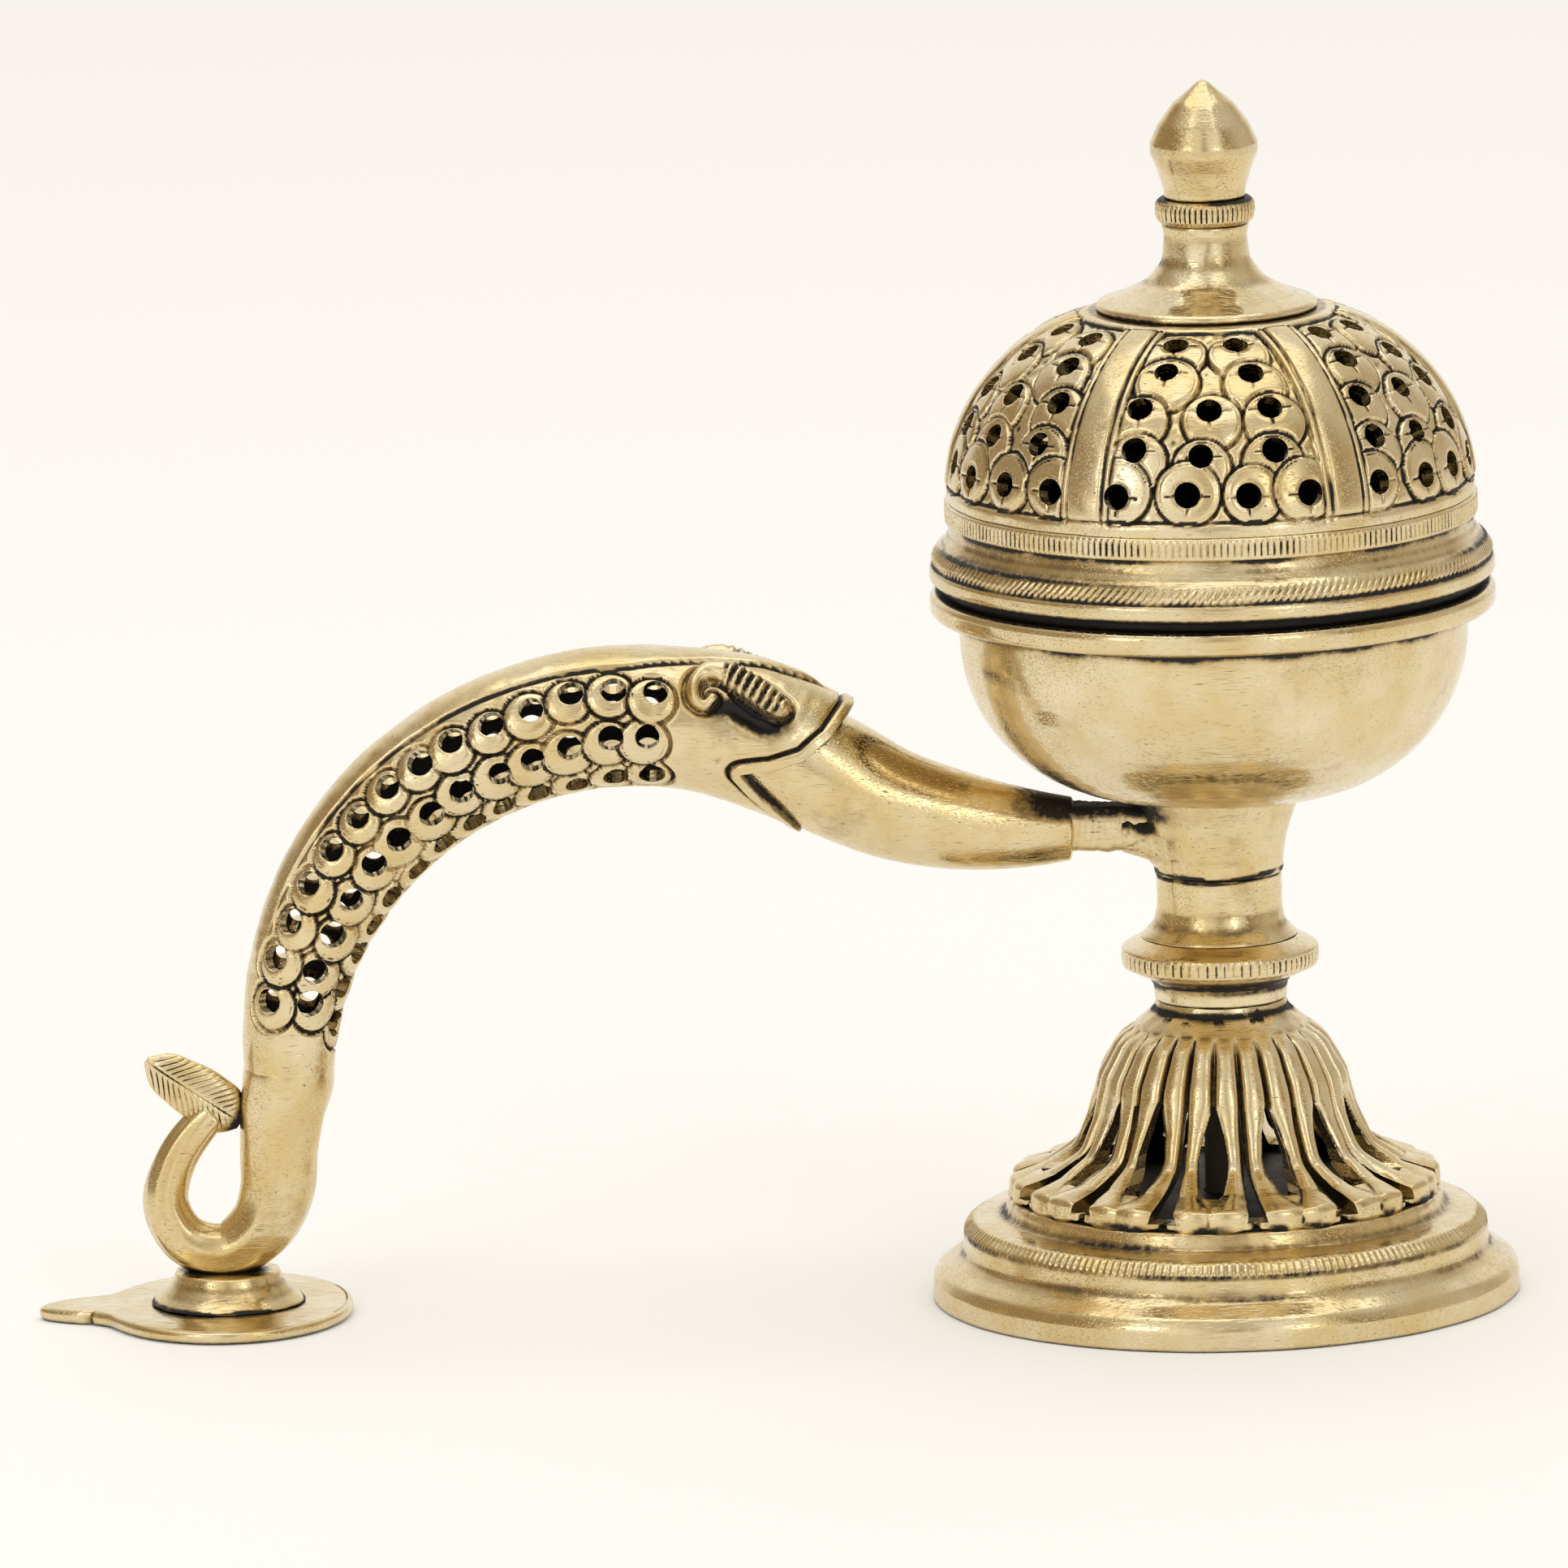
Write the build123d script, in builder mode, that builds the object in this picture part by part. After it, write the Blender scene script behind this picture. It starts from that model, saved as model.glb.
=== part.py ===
from build123d import *
import math
import os

# A standing and hand-held brass incense censer. A round bowl with a pierced, lift-off dome lid stands
# on a turned stem, a slotted lotus bell and a stepped base. A hollow pierced handle in the form of a
# water creature grips a snout that is brazed to the stem, and stands on a leaf-shaped foot at its tail.
# +Z is up. The origin is on the table, under the middle of the whole outline.

# Driving dimensions, in millimetres. Heights are above the table.
BASE_RADIUS = 45.3
HANDLE_REACH = 183.7  # from the stand's axis to the tip of the foot plate
PLATE_HEIGHT = 16.0  # top of the base's raised ring, where the lotus bell stands
BELL_TOP = 46.5
COLLAR_TOP = 56.2
BARREL_TOP = 66.2
NECK_TOP = 78.8
RIM_TOP = 111.0
SEAT_TOP = 112.6
LID_RIM_TOP = 125.2
DOME_TOP = 153.9
LID_NECK_TOP = 167.3
FINIAL_COLLAR_TOP = 171.1
FINIAL_TIP = 189.3

BOWL_RADIUS = 39.2
BOWL_ARC = 25.2  # radius of the bowl's rounded lower wall
BOWL_SPRING = 104.0  # height where that curve starts
RIM_RADIUS = 43.5
DOME_RADIUS = 40.6
DOME_ARC = 29.75  # radius of the dome's rounded wall
WALL = 2.2  # of the bowl and the dome
BELL_WALL = 2.4

ROD_RADIUS = 3.0
ROD_BORE = 3.15
STUD_RADIUS = 2.0
STUD_BORE = 2.1
NUT_PLAY = 0.05  # between a nut and its rod
LID_CLEARANCE = 0.6  # between the lid's skirt and the bowl's mouth

LID_PANELS = 6
LID_HOLE_RADIUS = 2.0
# Turns from the middle of a lid panel to each hole, row by row from the bottom.
LID_HOLE_ROWS = [(-21, -7, 7, 21), (-19, -3, 14), (-19, -2, 15), (-14, 12), (-13, 9)]
LID_ROW_START = 12.2  # climb along the dome's arc to the lowest row, in degrees
LID_ROW_STEP = 13.3
DRILL_START = 1.5  # how far outside a wall a drilled hole starts, and how far past it the hole ends
BELL_PETALS = 14
FIRST_WINDOW = 264.3  # turn of the first petal's window, just off the front

ARCH_RADIUS = 53.8  # of the handle's centre line
ARCH_OFFSET = 90.0  # from the stand's axis to the arch's centre
ARCH_HEIGHT = 38.6  # of the arch's centre
TUBE_THIN = 7.0
TUBE_GROWTH = 3.7
TUBE_WALL = 2.0
TUBE_STATIONS = (0, 14, 28, 42, 56, 70, 84, 98)  # turns along the arch, from the tail end
TUBE_HOLE_RADIUS = 1.85
# Each row of holes on one side of the tube: how many there are, the turn along the arch of the first
# and the last, and how far the first and the last lean from the side towards the tube's outer edge.
TUBE_HOLE_ROWS = [
    (14, 12.5, 94.0, 32.0, 32.0),
    (13, 12.8, 93.5, -18.0, -6.0),
    (13, 9.0, 93.5, -66.0, -47.0),
]

# Working values
STAND_X = (HANDLE_REACH - BASE_RADIUS) / 2
ARCH_X = STAND_X - ARCH_OFFSET
STAND_AXIS = Axis((STAND_X, 0, 0), (0, 0, 1))
STAND_PLANE = Plane(origin=(STAND_X, 0, 0), x_dir=(1, 0, 0), z_dir=(0, -1, 0))
FLOOR_PLANE = Plane(origin=(STAND_X, 0, 0), x_dir=(1, 0, 0), z_dir=(0, 0, 1))

os.makedirs("parts", exist_ok=True)


def level(height):
    """A level plane on the stand's axis."""
    return FLOOR_PLANE.offset(height)


def radial(turn):
    """An upright plane on the stand's axis that faces outwards at a turn in degrees."""
    c = math.cos(math.radians(turn))
    s = math.sin(math.radians(turn))
    return Plane(origin=(STAND_X, 0, 0), x_dir=(-s, c, 0), z_dir=(c, s, 0))


def across(station_x, station_z, slope):
    """A plane square to the handle's centre line, whose slope is in degrees above +X."""
    c = math.cos(math.radians(slope))
    s = math.sin(math.radians(slope))
    return Plane(origin=(STAND_X + station_x, 0, station_z), x_dir=(0, 1, 0), z_dir=(c, 0, s))


def arch_plane(turn):
    """A plane square to the arch at a turn in degrees from its tail end."""
    c = math.cos(math.radians(turn))
    s = math.sin(math.radians(turn))
    return across(-ARCH_OFFSET - ARCH_RADIUS * c, ARCH_HEIGHT + ARCH_RADIUS * s, 90 - turn)


def tube_radius(turn):
    """The handle tube's outer radius, which grows towards the head."""
    return TUBE_THIN + TUBE_GROWTH * math.sin(math.radians(turn))


def save(piece, name):
    """Label a finished piece and write it."""
    piece.part.label = name
    export_step(piece.part, f"parts/{name}.step")


# ---------------------------------------------------------------- stand

RING_RADIUS = 33.6  # of the raised ring
PLATE_CEILING = 13.6  # underside of the ring's thin top
with BuildPart() as base_plate:
    with BuildSketch(STAND_PLANE):
        with BuildLine():
            Polyline(
                (ROD_BORE, PLATE_HEIGHT),
                (RING_RADIUS, PLATE_HEIGHT),
                (RING_RADIUS, 12.8),
                (38.7, 12.4),
                (40.2, 11.0),
                (40.6, 7.3),
                (44.2, 4.6),
                (BASE_RADIUS, 3.4),
                (BASE_RADIUS, 0),
                (43.0, 0),
                (38.4, 5.0),
                (38.0, 10.2),
                (31.4, 10.4),
                (31.4, PLATE_CEILING),
                (ROD_BORE, PLATE_CEILING),
                close=True,
            )
        make_face()
    revolve(axis=STAND_AXIS)

# The fluted bell is hollow. Each petal has a slender window down its middle, and a gap that opens
# to the petals' tips parts it from the next.
BELL_TIP = 33.0
BELL_NECK = 10.3
WINDOW_REACH = 27.0  # from the axis, short of the petal's tip
WINDOW = [(0, 32.6), (-1.5, 29.0), (-2.2, 25.0), (-1.8, 19.2), (1.8, 19.2), (2.2, 25.0), (1.5, 29.0)]
GAP = [(0, 31.0), (-0.4, 26.0), (-0.8, 21.6), (-2.4, 17.2), (2.4, 17.2), (0.8, 21.6), (0.4, 26.0)]

with BuildPart() as lotus_bell:
    with BuildSketch(STAND_PLANE):
        with BuildLine():
            Spline(
                (BELL_NECK, 45.6),
                (15.1, 41.1),
                (18.9, 34.7),
                (20.3, 29.0),
                (23.0, 23.6),
                (28.6, 21.4),
                (BELL_TIP, 18.4),
            )
            Polyline((BELL_TIP, 18.4), (BELL_TIP, PLATE_HEIGHT), (30.6, PLATE_HEIGHT))
            Spline(
                (30.6, PLATE_HEIGHT),
                (27.2, 19.0),
                (21.8, 20.8),
                (18.4, 26.0),
                (17.0, 33.2),
                (12.0, 41.2),
            )
            Polyline(
                (12.0, 41.2),
                (ROD_BORE, 41.2),
                (ROD_BORE, BELL_TOP),
                (BELL_NECK, BELL_TOP),
                (BELL_NECK, 45.6),
            )
        make_face()
    revolve(axis=STAND_AXIS)
    for petal in range(BELL_PETALS):
        with BuildSketch(radial(FIRST_WINDOW + petal * 360 / BELL_PETALS)):
            with BuildLine():
                Polyline(*WINDOW, close=True)
            make_face()
        extrude(amount=WINDOW_REACH, mode=Mode.SUBTRACT)
        with BuildSketch(radial(FIRST_WINDOW + (petal + 0.5) * 360 / BELL_PETALS)):
            with BuildLine():
                Polyline(*GAP, close=True)
            make_face()
        extrude(amount=BASE_RADIUS, mode=Mode.SUBTRACT)

with BuildPart() as stem_collar:
    with BuildSketch(STAND_PLANE):
        with BuildLine():
            Polyline(
                (12.7, COLLAR_TOP),
                (ROD_BORE, COLLAR_TOP),
                (ROD_BORE, BELL_TOP),
                (10.2, BELL_TOP),
                (10.2, 48.6),
                (11.6, 50.0),
                (14.0, 51.0),
                (15.2, 51.8),
                (15.2, 54.4),
                (14.2, 55.0),
                close=True,
            )
        make_face()
    revolve(axis=STAND_AXIS)

with BuildPart() as stem_barrel:
    with BuildSketch(STAND_PLANE):
        with BuildLine():
            ThreePointArc((12.4, COLLAR_TOP), (10.5, 57.6), (9.8, 60.0))
            Polyline(
                (9.8, 60.0),
                (9.8, BARREL_TOP),
                (ROD_BORE, BARREL_TOP),
                (ROD_BORE, COLLAR_TOP),
                (12.4, COLLAR_TOP),
            )
        make_face()
    revolve(axis=STAND_AXIS)

with BuildPart() as stem_neck:
    with BuildSketch(STAND_PLANE):
        with BuildLine():
            Polyline((13.3, NECK_TOP), (ROD_BORE, NECK_TOP), (ROD_BORE, BARREL_TOP), (10.0, BARREL_TOP))
            ThreePointArc((10.0, BARREL_TOP), (10.9, 73.0), (13.3, NECK_TOP))
        make_face()
    revolve(axis=STAND_AXIS)

BOWL_FLOOR = BOWL_SPRING - BOWL_ARC + WALL
BOWL_FLAT = BOWL_RADIUS - BOWL_ARC  # radius of the flat bottom
BOWL_MOUTH = 38.4

with BuildPart() as bowl:
    with BuildSketch(STAND_PLANE):
        with BuildLine():
            Polyline(
                (BOWL_FLAT, BOWL_FLOOR),
                (ROD_BORE, BOWL_FLOOR),
                (ROD_BORE, NECK_TOP),
                (BOWL_FLAT, NECK_TOP),
            )
            RadiusArc((BOWL_FLAT, NECK_TOP), (BOWL_RADIUS, BOWL_SPRING), -BOWL_ARC)
            Polyline(
                (BOWL_RADIUS, BOWL_SPRING),
                (BOWL_RADIUS, 106.6),
                (40.4, 107.4),
                (RIM_RADIUS, 107.6),
                (RIM_RADIUS, RIM_TOP),
                (40.6, RIM_TOP),
                (40.6, SEAT_TOP),
                (BOWL_MOUTH, SEAT_TOP),
                (BOWL_MOUTH, 107.0),
                (BOWL_RADIUS - WALL, BOWL_SPRING),
            )
            RadiusArc((BOWL_RADIUS - WALL, BOWL_SPRING), (BOWL_FLAT, BOWL_FLOOR), BOWL_ARC - WALL)
        make_face()
    revolve(axis=STAND_AXIS)

# One long rod clamps the base, bell, stem and bowl between two nuts.
ROD_BOTTOM = 6.6
ROD_TOP = 88.0
NUT_HEIGHT = 5.0
NUT_FLATS_RADIUS = 5.0
WASHER_HEIGHT = 1.2
BOWL_WASHER_RADIUS = 8.0
BASE_WASHER_RADIUS = 10.0

with BuildPart() as tie_rod:
    with BuildSketch(level(ROD_BOTTOM)):
        Circle(ROD_RADIUS)
    extrude(amount=ROD_TOP - ROD_BOTTOM)
    chamfer(tie_rod.edges().filter_by(GeomType.CIRCLE), length=0.5)

with BuildPart() as bowl_washer:
    with BuildSketch(level(BOWL_FLOOR)):
        Circle(BOWL_WASHER_RADIUS)
        Circle(ROD_BORE, mode=Mode.SUBTRACT)
    extrude(amount=WASHER_HEIGHT)

with BuildPart() as bowl_nut:
    with BuildSketch(level(BOWL_FLOOR + WASHER_HEIGHT)):
        RegularPolygon(NUT_FLATS_RADIUS, 6, major_radius=False)
        Circle(ROD_RADIUS + NUT_PLAY, mode=Mode.SUBTRACT)
    extrude(amount=NUT_HEIGHT)

with BuildPart() as base_washer:
    with BuildSketch(level(PLATE_CEILING - WASHER_HEIGHT)):
        Circle(BASE_WASHER_RADIUS)
        Circle(ROD_BORE, mode=Mode.SUBTRACT)
    extrude(amount=WASHER_HEIGHT)

with BuildPart() as base_nut:
    with BuildSketch(level(PLATE_CEILING - WASHER_HEIGHT - NUT_HEIGHT)):
        RegularPolygon(NUT_FLATS_RADIUS, 6, major_radius=False)
        Circle(ROD_RADIUS + NUT_PLAY, mode=Mode.SUBTRACT)
    extrude(amount=NUT_HEIGHT)

# ---------------------------------------------------------------- lid

SKIRT_RADIUS = BOWL_MOUTH - LID_CLEARANCE
SKIRT_WALL = 2.0
SKIRT_BOTTOM = 109.0
RIM_BORE = 38.2

with BuildPart() as lid_rim:
    with BuildSketch(STAND_PLANE):
        with BuildLine():
            Polyline(
                (RIM_BORE, LID_RIM_TOP),
                (RIM_BORE, 115.0),
                (SKIRT_RADIUS - SKIRT_WALL, 114.0),
                (SKIRT_RADIUS - SKIRT_WALL, SKIRT_BOTTOM),
                (SKIRT_RADIUS, SKIRT_BOTTOM),
                (SKIRT_RADIUS, SEAT_TOP),
                (RIM_RADIUS, SEAT_TOP),
                (RIM_RADIUS, 115.0),
                (43.0, 115.8),
                (42.6, 117.0),
            )
            ThreePointArc((42.6, 117.0), (41.0, 118.9), (40.3, 121.4))
            Polyline(
                (40.3, 121.4),
                (40.8, 121.8),
                (40.8, 124.8),
                (DOME_RADIUS, LID_RIM_TOP),
                (RIM_BORE, LID_RIM_TOP),
            )
        make_face()
    revolve(axis=STAND_AXIS)


def arc_reach(radius, height):
    """How far out a dome arc of this radius is at a height above the lid's rim."""
    return DOME_RADIUS - DOME_ARC + math.sqrt(radius**2 - (height - LID_RIM_TOP) ** 2)


def drill_plane(heading, row):
    """A plane a little outside the dome and square to it, over one hole."""
    climb = math.radians(LID_ROW_START + row * LID_ROW_STEP)
    heading = math.radians(heading)
    drill = Vector(
        math.cos(climb) * math.cos(heading),
        math.cos(climb) * math.sin(heading),
        math.sin(climb),
    )
    height = LID_RIM_TOP + DOME_ARC * math.sin(climb)
    reach = arc_reach(DOME_ARC, height)
    mark = Vector(STAND_X + reach * math.cos(heading), reach * math.sin(heading), height)
    return Plane(origin=mark + drill * DRILL_START, z_dir=drill)


DOME_INNER_TOP = DOME_TOP - WALL

with BuildPart() as lid_dome:
    with BuildSketch(STAND_PLANE):
        with BuildLine():
            RadiusArc((DOME_RADIUS, LID_RIM_TOP), (arc_reach(DOME_ARC, DOME_TOP), DOME_TOP), -DOME_ARC)
            Polyline(
                (arc_reach(DOME_ARC, DOME_TOP), DOME_TOP),
                (STUD_BORE, DOME_TOP),
                (STUD_BORE, DOME_INNER_TOP),
                (arc_reach(DOME_ARC - WALL, DOME_INNER_TOP), DOME_INNER_TOP),
            )
            RadiusArc(
                (arc_reach(DOME_ARC - WALL, DOME_INNER_TOP), DOME_INNER_TOP),
                (DOME_RADIUS - WALL, LID_RIM_TOP),
                DOME_ARC - WALL,
            )
            Line((DOME_RADIUS - WALL, LID_RIM_TOP), (DOME_RADIUS, LID_RIM_TOP))
        make_face()
    revolve(axis=STAND_AXIS)
    for panel in range(LID_PANELS):
        for row, turns in enumerate(LID_HOLE_ROWS):
            for turn in turns:
                with BuildSketch(drill_plane(270 + panel * 360 / LID_PANELS + turn, row)):
                    Circle(LID_HOLE_RADIUS)
                extrude(amount=-WALL - 2 * DRILL_START, mode=Mode.SUBTRACT)

with BuildPart() as lid_neck:
    with BuildSketch(STAND_PLANE):
        with BuildLine():
            Polyline(
                (6.8, LID_NECK_TOP),
                (STUD_BORE, LID_NECK_TOP),
                (STUD_BORE, DOME_TOP),
                (17.1, DOME_TOP),
                (17.1, 155.0),
            )
            Spline((17.1, 155.0), (11.9, 157.1), (8.0, 160.0), (6.4, 164.0), (6.8, LID_NECK_TOP))
        make_face()
    revolve(axis=STAND_AXIS)

with BuildPart() as finial_collar:
    with BuildSketch(level(LID_NECK_TOP)):
        Circle(7.7)
        Circle(STUD_BORE, mode=Mode.SUBTRACT)
    extrude(amount=FINIAL_COLLAR_TOP - LID_NECK_TOP)
    chamfer(finial_collar.edges().filter_by(GeomType.CIRCLE).group_by(SortBy.RADIUS)[-1], length=0.5)

STUD_TOP = 177.0
STUD_BOTTOM = 146.4

with BuildPart() as finial_bud:
    with BuildSketch(STAND_PLANE):
        with BuildLine():
            Polyline(
                (0, STUD_TOP),
                (STUD_BORE, STUD_TOP),
                (STUD_BORE, FINIAL_COLLAR_TOP),
                (6.3, FINIAL_COLLAR_TOP),
                (6.4, 172.3),
                (8.1, 177.6),
                (8.5, 178.8),
                (8.3, 180.0),
            )
            Spline((8.3, 180.0), (6.4, 183.6), (3.4, 187.2), (0.9, 188.9))
            Polyline((0.9, 188.9), (0, FINIAL_TIP), (0, STUD_TOP))
        make_face()
    revolve(axis=STAND_AXIS)

with BuildPart() as finial_stud:
    with BuildSketch(level(STUD_BOTTOM)):
        Circle(STUD_RADIUS)
    extrude(amount=STUD_TOP - STUD_BOTTOM)

LID_WASHER_RADIUS = 6.0
LID_WASHER_HEIGHT = 1.0
LID_NUT_HEIGHT = 3.2
LID_NUT_FLATS_RADIUS = 3.5

with BuildPart() as lid_washer:
    with BuildSketch(level(DOME_INNER_TOP - LID_WASHER_HEIGHT)):
        Circle(LID_WASHER_RADIUS)
        Circle(STUD_BORE, mode=Mode.SUBTRACT)
    extrude(amount=LID_WASHER_HEIGHT)

with BuildPart() as lid_nut:
    with BuildSketch(level(DOME_INNER_TOP - LID_WASHER_HEIGHT - LID_NUT_HEIGHT)):
        RegularPolygon(LID_NUT_FLATS_RADIUS, 6, major_radius=False)
        Circle(STUD_RADIUS + NUT_PLAY, mode=Mode.SUBTRACT)
    extrude(amount=LID_NUT_HEIGHT)

# ---------------------------------------------------------------- handle

# The pierced tube is a little over a quarter circle in side view, thin at the tail and stout at the head.
with BuildPart() as handle_tube:
    for turn in TUBE_STATIONS:
        with BuildSketch(arch_plane(turn)):
            Circle(tube_radius(turn))
    loft()
    for turn in TUBE_STATIONS:
        with BuildSketch(arch_plane(turn)):
            Circle(tube_radius(turn) - TUBE_WALL)
    loft(mode=Mode.SUBTRACT)
    for side in (1, -1):
        for holes, first_turn, last_turn, first_lean, last_lean in TUBE_HOLE_ROWS:
            for hole in range(holes):
                share = hole / (holes - 1)
                turn = first_turn + share * (last_turn - first_turn)
                lean = first_lean + share * (last_lean - first_lean)
                station = arch_plane(turn)
                outward = station.z_dir.cross(Vector(0, 1, 0))
                c = math.cos(math.radians(lean))
                s = math.sin(math.radians(lean))
                drill = Vector(0, side * c, 0) + outward * -s
                start = station.origin + drill * (tube_radius(turn) + DRILL_START)
                with BuildSketch(Plane(origin=start, z_dir=drill)):
                    Circle(TUBE_HOLE_RADIUS)
                extrude(amount=-TUBE_WALL - 2 * DRILL_START, mode=Mode.SUBTRACT)

# The foot, under the tail, is held by one rivet.
FOOT_X = -154.2  # from the stand's axis
FOOT_THICKNESS = 2.3
BOSS_TOP = 7.2
RIVET_BORE = 1.6
RIVET_BOTTOM = 0.3
RIVET_TOP = 9.0

# The tail is one solid rod: the shank comes down, curls under and back up to the fin.
TAIL_STATIONS = [
    (-143.8, 38.6, 90, 7.0),
    (-145.3, 30.0, 87, 6.4),
    (-145.9, 21.5, 84, 5.9),
    (-148.6, 14.2, 55, 5.2),
    (-154.6, 10.2, 8, 4.3),
    (-160.9, 12.6, -48, 3.8),
    (-163.3, 18.4, -90, 3.5),
    (-161.4, 25.0, -122, 3.1),
    (-157.6, 30.4, -125, 2.7),
]

with BuildPart() as tail:
    for station_x, station_z, slope, radius in TAIL_STATIONS:
        with BuildSketch(across(station_x, station_z, slope)):
            Circle(radius)
    loft()
    with BuildSketch(Plane(origin=(STAND_X + FOOT_X, 0, 0))):
        Circle(RIVET_BORE)
    extrude(amount=RIVET_TOP, mode=Mode.SUBTRACT)

FIN_HALF_THICKNESS = 2.0
with BuildPart() as tail_fin:
    with BuildSketch(STAND_PLANE):
        with BuildLine():
            Spline((-158.2, 30.4), (-165.0, 38.4), (-162.6, 41.7), (-156.6, 40.0), (-150.5, 36.4))
            Polyline((-150.5, 36.4), (-150.5, 28.8), (-153.2, 28.2))
            Line((-153.2, 28.2), (-158.2, 30.4))
        make_face()
    extrude(amount=FIN_HALF_THICKNESS, both=True)
    add(tail.part, mode=Mode.SUBTRACT)

# The foot plate is an oval leaf whose tip points away from the stand.
TIP_REACH = HANDLE_REACH + FOOT_X
with BuildPart() as foot_plate:
    with BuildSketch(Plane(origin=(STAND_X + FOOT_X, 0, 0))):
        Ellipse(19.4, 22.8)
        with BuildLine():
            Polyline(
                (-TIP_REACH, 1.2),
                (-22.5, 5.4),
                (-16.5, 12.0),
                (0, 0),
                (-16.5, -12.0),
                (-22.5, -5.4),
                (-TIP_REACH, -1.2),
                close=True,
            )
        make_face()
    extrude(amount=FOOT_THICKNESS)
    with BuildSketch(Plane(origin=(STAND_X + FOOT_X, 0, 0))):
        Circle(RIVET_BORE)
    extrude(amount=FOOT_THICKNESS, mode=Mode.SUBTRACT)

with BuildPart() as foot_boss:
    with BuildSketch(Plane(origin=(STAND_X + FOOT_X, 0, 0), x_dir=(1, 0, 0), z_dir=(0, -1, 0))):
        with BuildLine():
            ThreePointArc((12.0, FOOT_THICKNESS), (9.4, 4.4), (8.0, BOSS_TOP))
            Polyline(
                (8.0, BOSS_TOP),
                (RIVET_BORE, BOSS_TOP),
                (RIVET_BORE, FOOT_THICKNESS),
                (12.0, FOOT_THICKNESS),
            )
        make_face()
    revolve(axis=Axis((STAND_X + FOOT_X, 0, 0), (0, 0, 1)))
    add(tail.part, mode=Mode.SUBTRACT)

with BuildPart() as foot_rivet:
    with BuildSketch(Plane(origin=(STAND_X + FOOT_X, 0, RIVET_BOTTOM))):
        Circle(RIVET_BORE - NUT_PLAY)
    extrude(amount=RIVET_TOP - RIVET_BOTTOM)

# The snout starts inside the head and narrows towards the stem.
SNOUT_STATIONS = [
    (-74.0, 90.0, -20, 9.1),
    (-66.0, 86.4, -27, 9.6),
    (-58.6, 82.2, -30, 9.5),
    (-50.2, 77.9, -22, 8.6),
    (-41.2, 75.2, -12, 7.7),
    (-30.0, 73.6, -5, 6.3),
    (-20.4, 73.0, -2, 4.9),
]
LUG_WIDTH = 8.6
LUG_HEIGHT = 5.6
LUG_REACH = 11.5  # from the snout's end into the stem's neck

with BuildPart() as snout:
    for station_x, station_z, slope, radius in SNOUT_STATIONS:
        with BuildSketch(across(station_x, station_z, slope)):
            Circle(radius)
    loft()

HEAD_HALF_WIDTH = 10.7
HEAD_STATIONS = [
    (-82.51, 91.88, -8, 10.7),
    (-77.6, 91.1, -13, 10.9),
    (-72.5, 89.8, -20, 11.1),
    (-64.0, 86.2, -27, 11.0),
    (-57.6, 82.8, -30, 10.5),
]

# The head is open at the mouth, where two jaws part round the snout.
with BuildPart() as head:
    for station_x, station_z, slope, height in HEAD_STATIONS:
        with BuildSketch(across(station_x, station_z, slope)):
            Ellipse(HEAD_HALF_WIDTH, height)
    loft()
    add(snout.part, mode=Mode.SUBTRACT)
    with BuildSketch(STAND_PLANE):
        with BuildLine():
            Spline((-73.9, 82.6), (-66.6, 83.2), (-59.8, 88.5), (-54.4, 95.6))
            Polyline(
                (-54.4, 95.6),
                (-40.0, 95.6),
                (-40.0, 66.0),
                (-60.8, 70.6),
                (-71.2, 80.3),
                (-73.9, 82.6),
            )
        make_face()
    extrude(amount=2 * HEAD_HALF_WIDTH, both=True, mode=Mode.SUBTRACT)

BROW_OFFSET = 8.4  # from the handle's middle plane
BROW_RADIUS = 2.3
BROW_PLANE = Plane(origin=(STAND_X, -BROW_OFFSET, 0), x_dir=(1, 0, 0), z_dir=(0, -1, 0))

with BuildPart() as brow_near:
    with BuildLine(BROW_PLANE) as brow_line:
        Spline((-78.7, 96.8), (-77.0, 98.7), (-73.5, 98.4), (-69.5, 96.8), (-65.8, 94.0))
    with BuildSketch(Plane(origin=brow_line.line @ 0, x_dir=(0, 1, 0), z_dir=brow_line.line % 0)):
        Circle(BROW_RADIUS)
    sweep()
    add(head.part, mode=Mode.SUBTRACT)
    add(snout.part, mode=Mode.SUBTRACT)

with BuildPart() as brow_far:
    add(mirror(brow_near.part, about=Plane.XZ))

# A smooth raised band follows the outer edge of the tube from the shank to the head.
RIDGE_HALF_WIDTH = 4.2
RIDGE_HEIGHT = 0.5
RIDGE_STATIONS = (3, 14, 28, 42, 56, 70, 84, 96)

with BuildPart() as back_ridge:
    for turn in RIDGE_STATIONS:
        with BuildSketch(arch_plane(turn)):
            Circle(tube_radius(turn) + RIDGE_HEIGHT)
            with Locations((0, tube_radius(turn))):
                Rectangle(2 * RIDGE_HALF_WIDTH, tube_radius(turn), mode=Mode.INTERSECT)
    loft()
    for turn in RIDGE_STATIONS:
        with BuildSketch(arch_plane(turn)):
            Circle(tube_radius(turn))
    loft(mode=Mode.SUBTRACT)

with BuildPart() as handle_lug:
    with BuildSketch(across(*SNOUT_STATIONS[-1][:3])):
        Rectangle(LUG_WIDTH, LUG_HEIGHT)
    extrude(amount=LUG_REACH)
    add(stem_neck.part, mode=Mode.SUBTRACT)

BRAZE_HALF_WIDTH = 5.4
with BuildPart() as braze_collar:
    with BuildSketch(STAND_PLANE):
        with BuildLine():
            Polyline((-15.6, 75.4), (-9.4, 77.0), (-9.4, 67.4), (-15.6, 69.6), close=True)
        make_face()
    extrude(amount=BRAZE_HALF_WIDTH, both=True)
    add(handle_lug.part, mode=Mode.SUBTRACT)
    add(stem_neck.part, mode=Mode.SUBTRACT)

# ---------------------------------------------------------------- files

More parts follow.
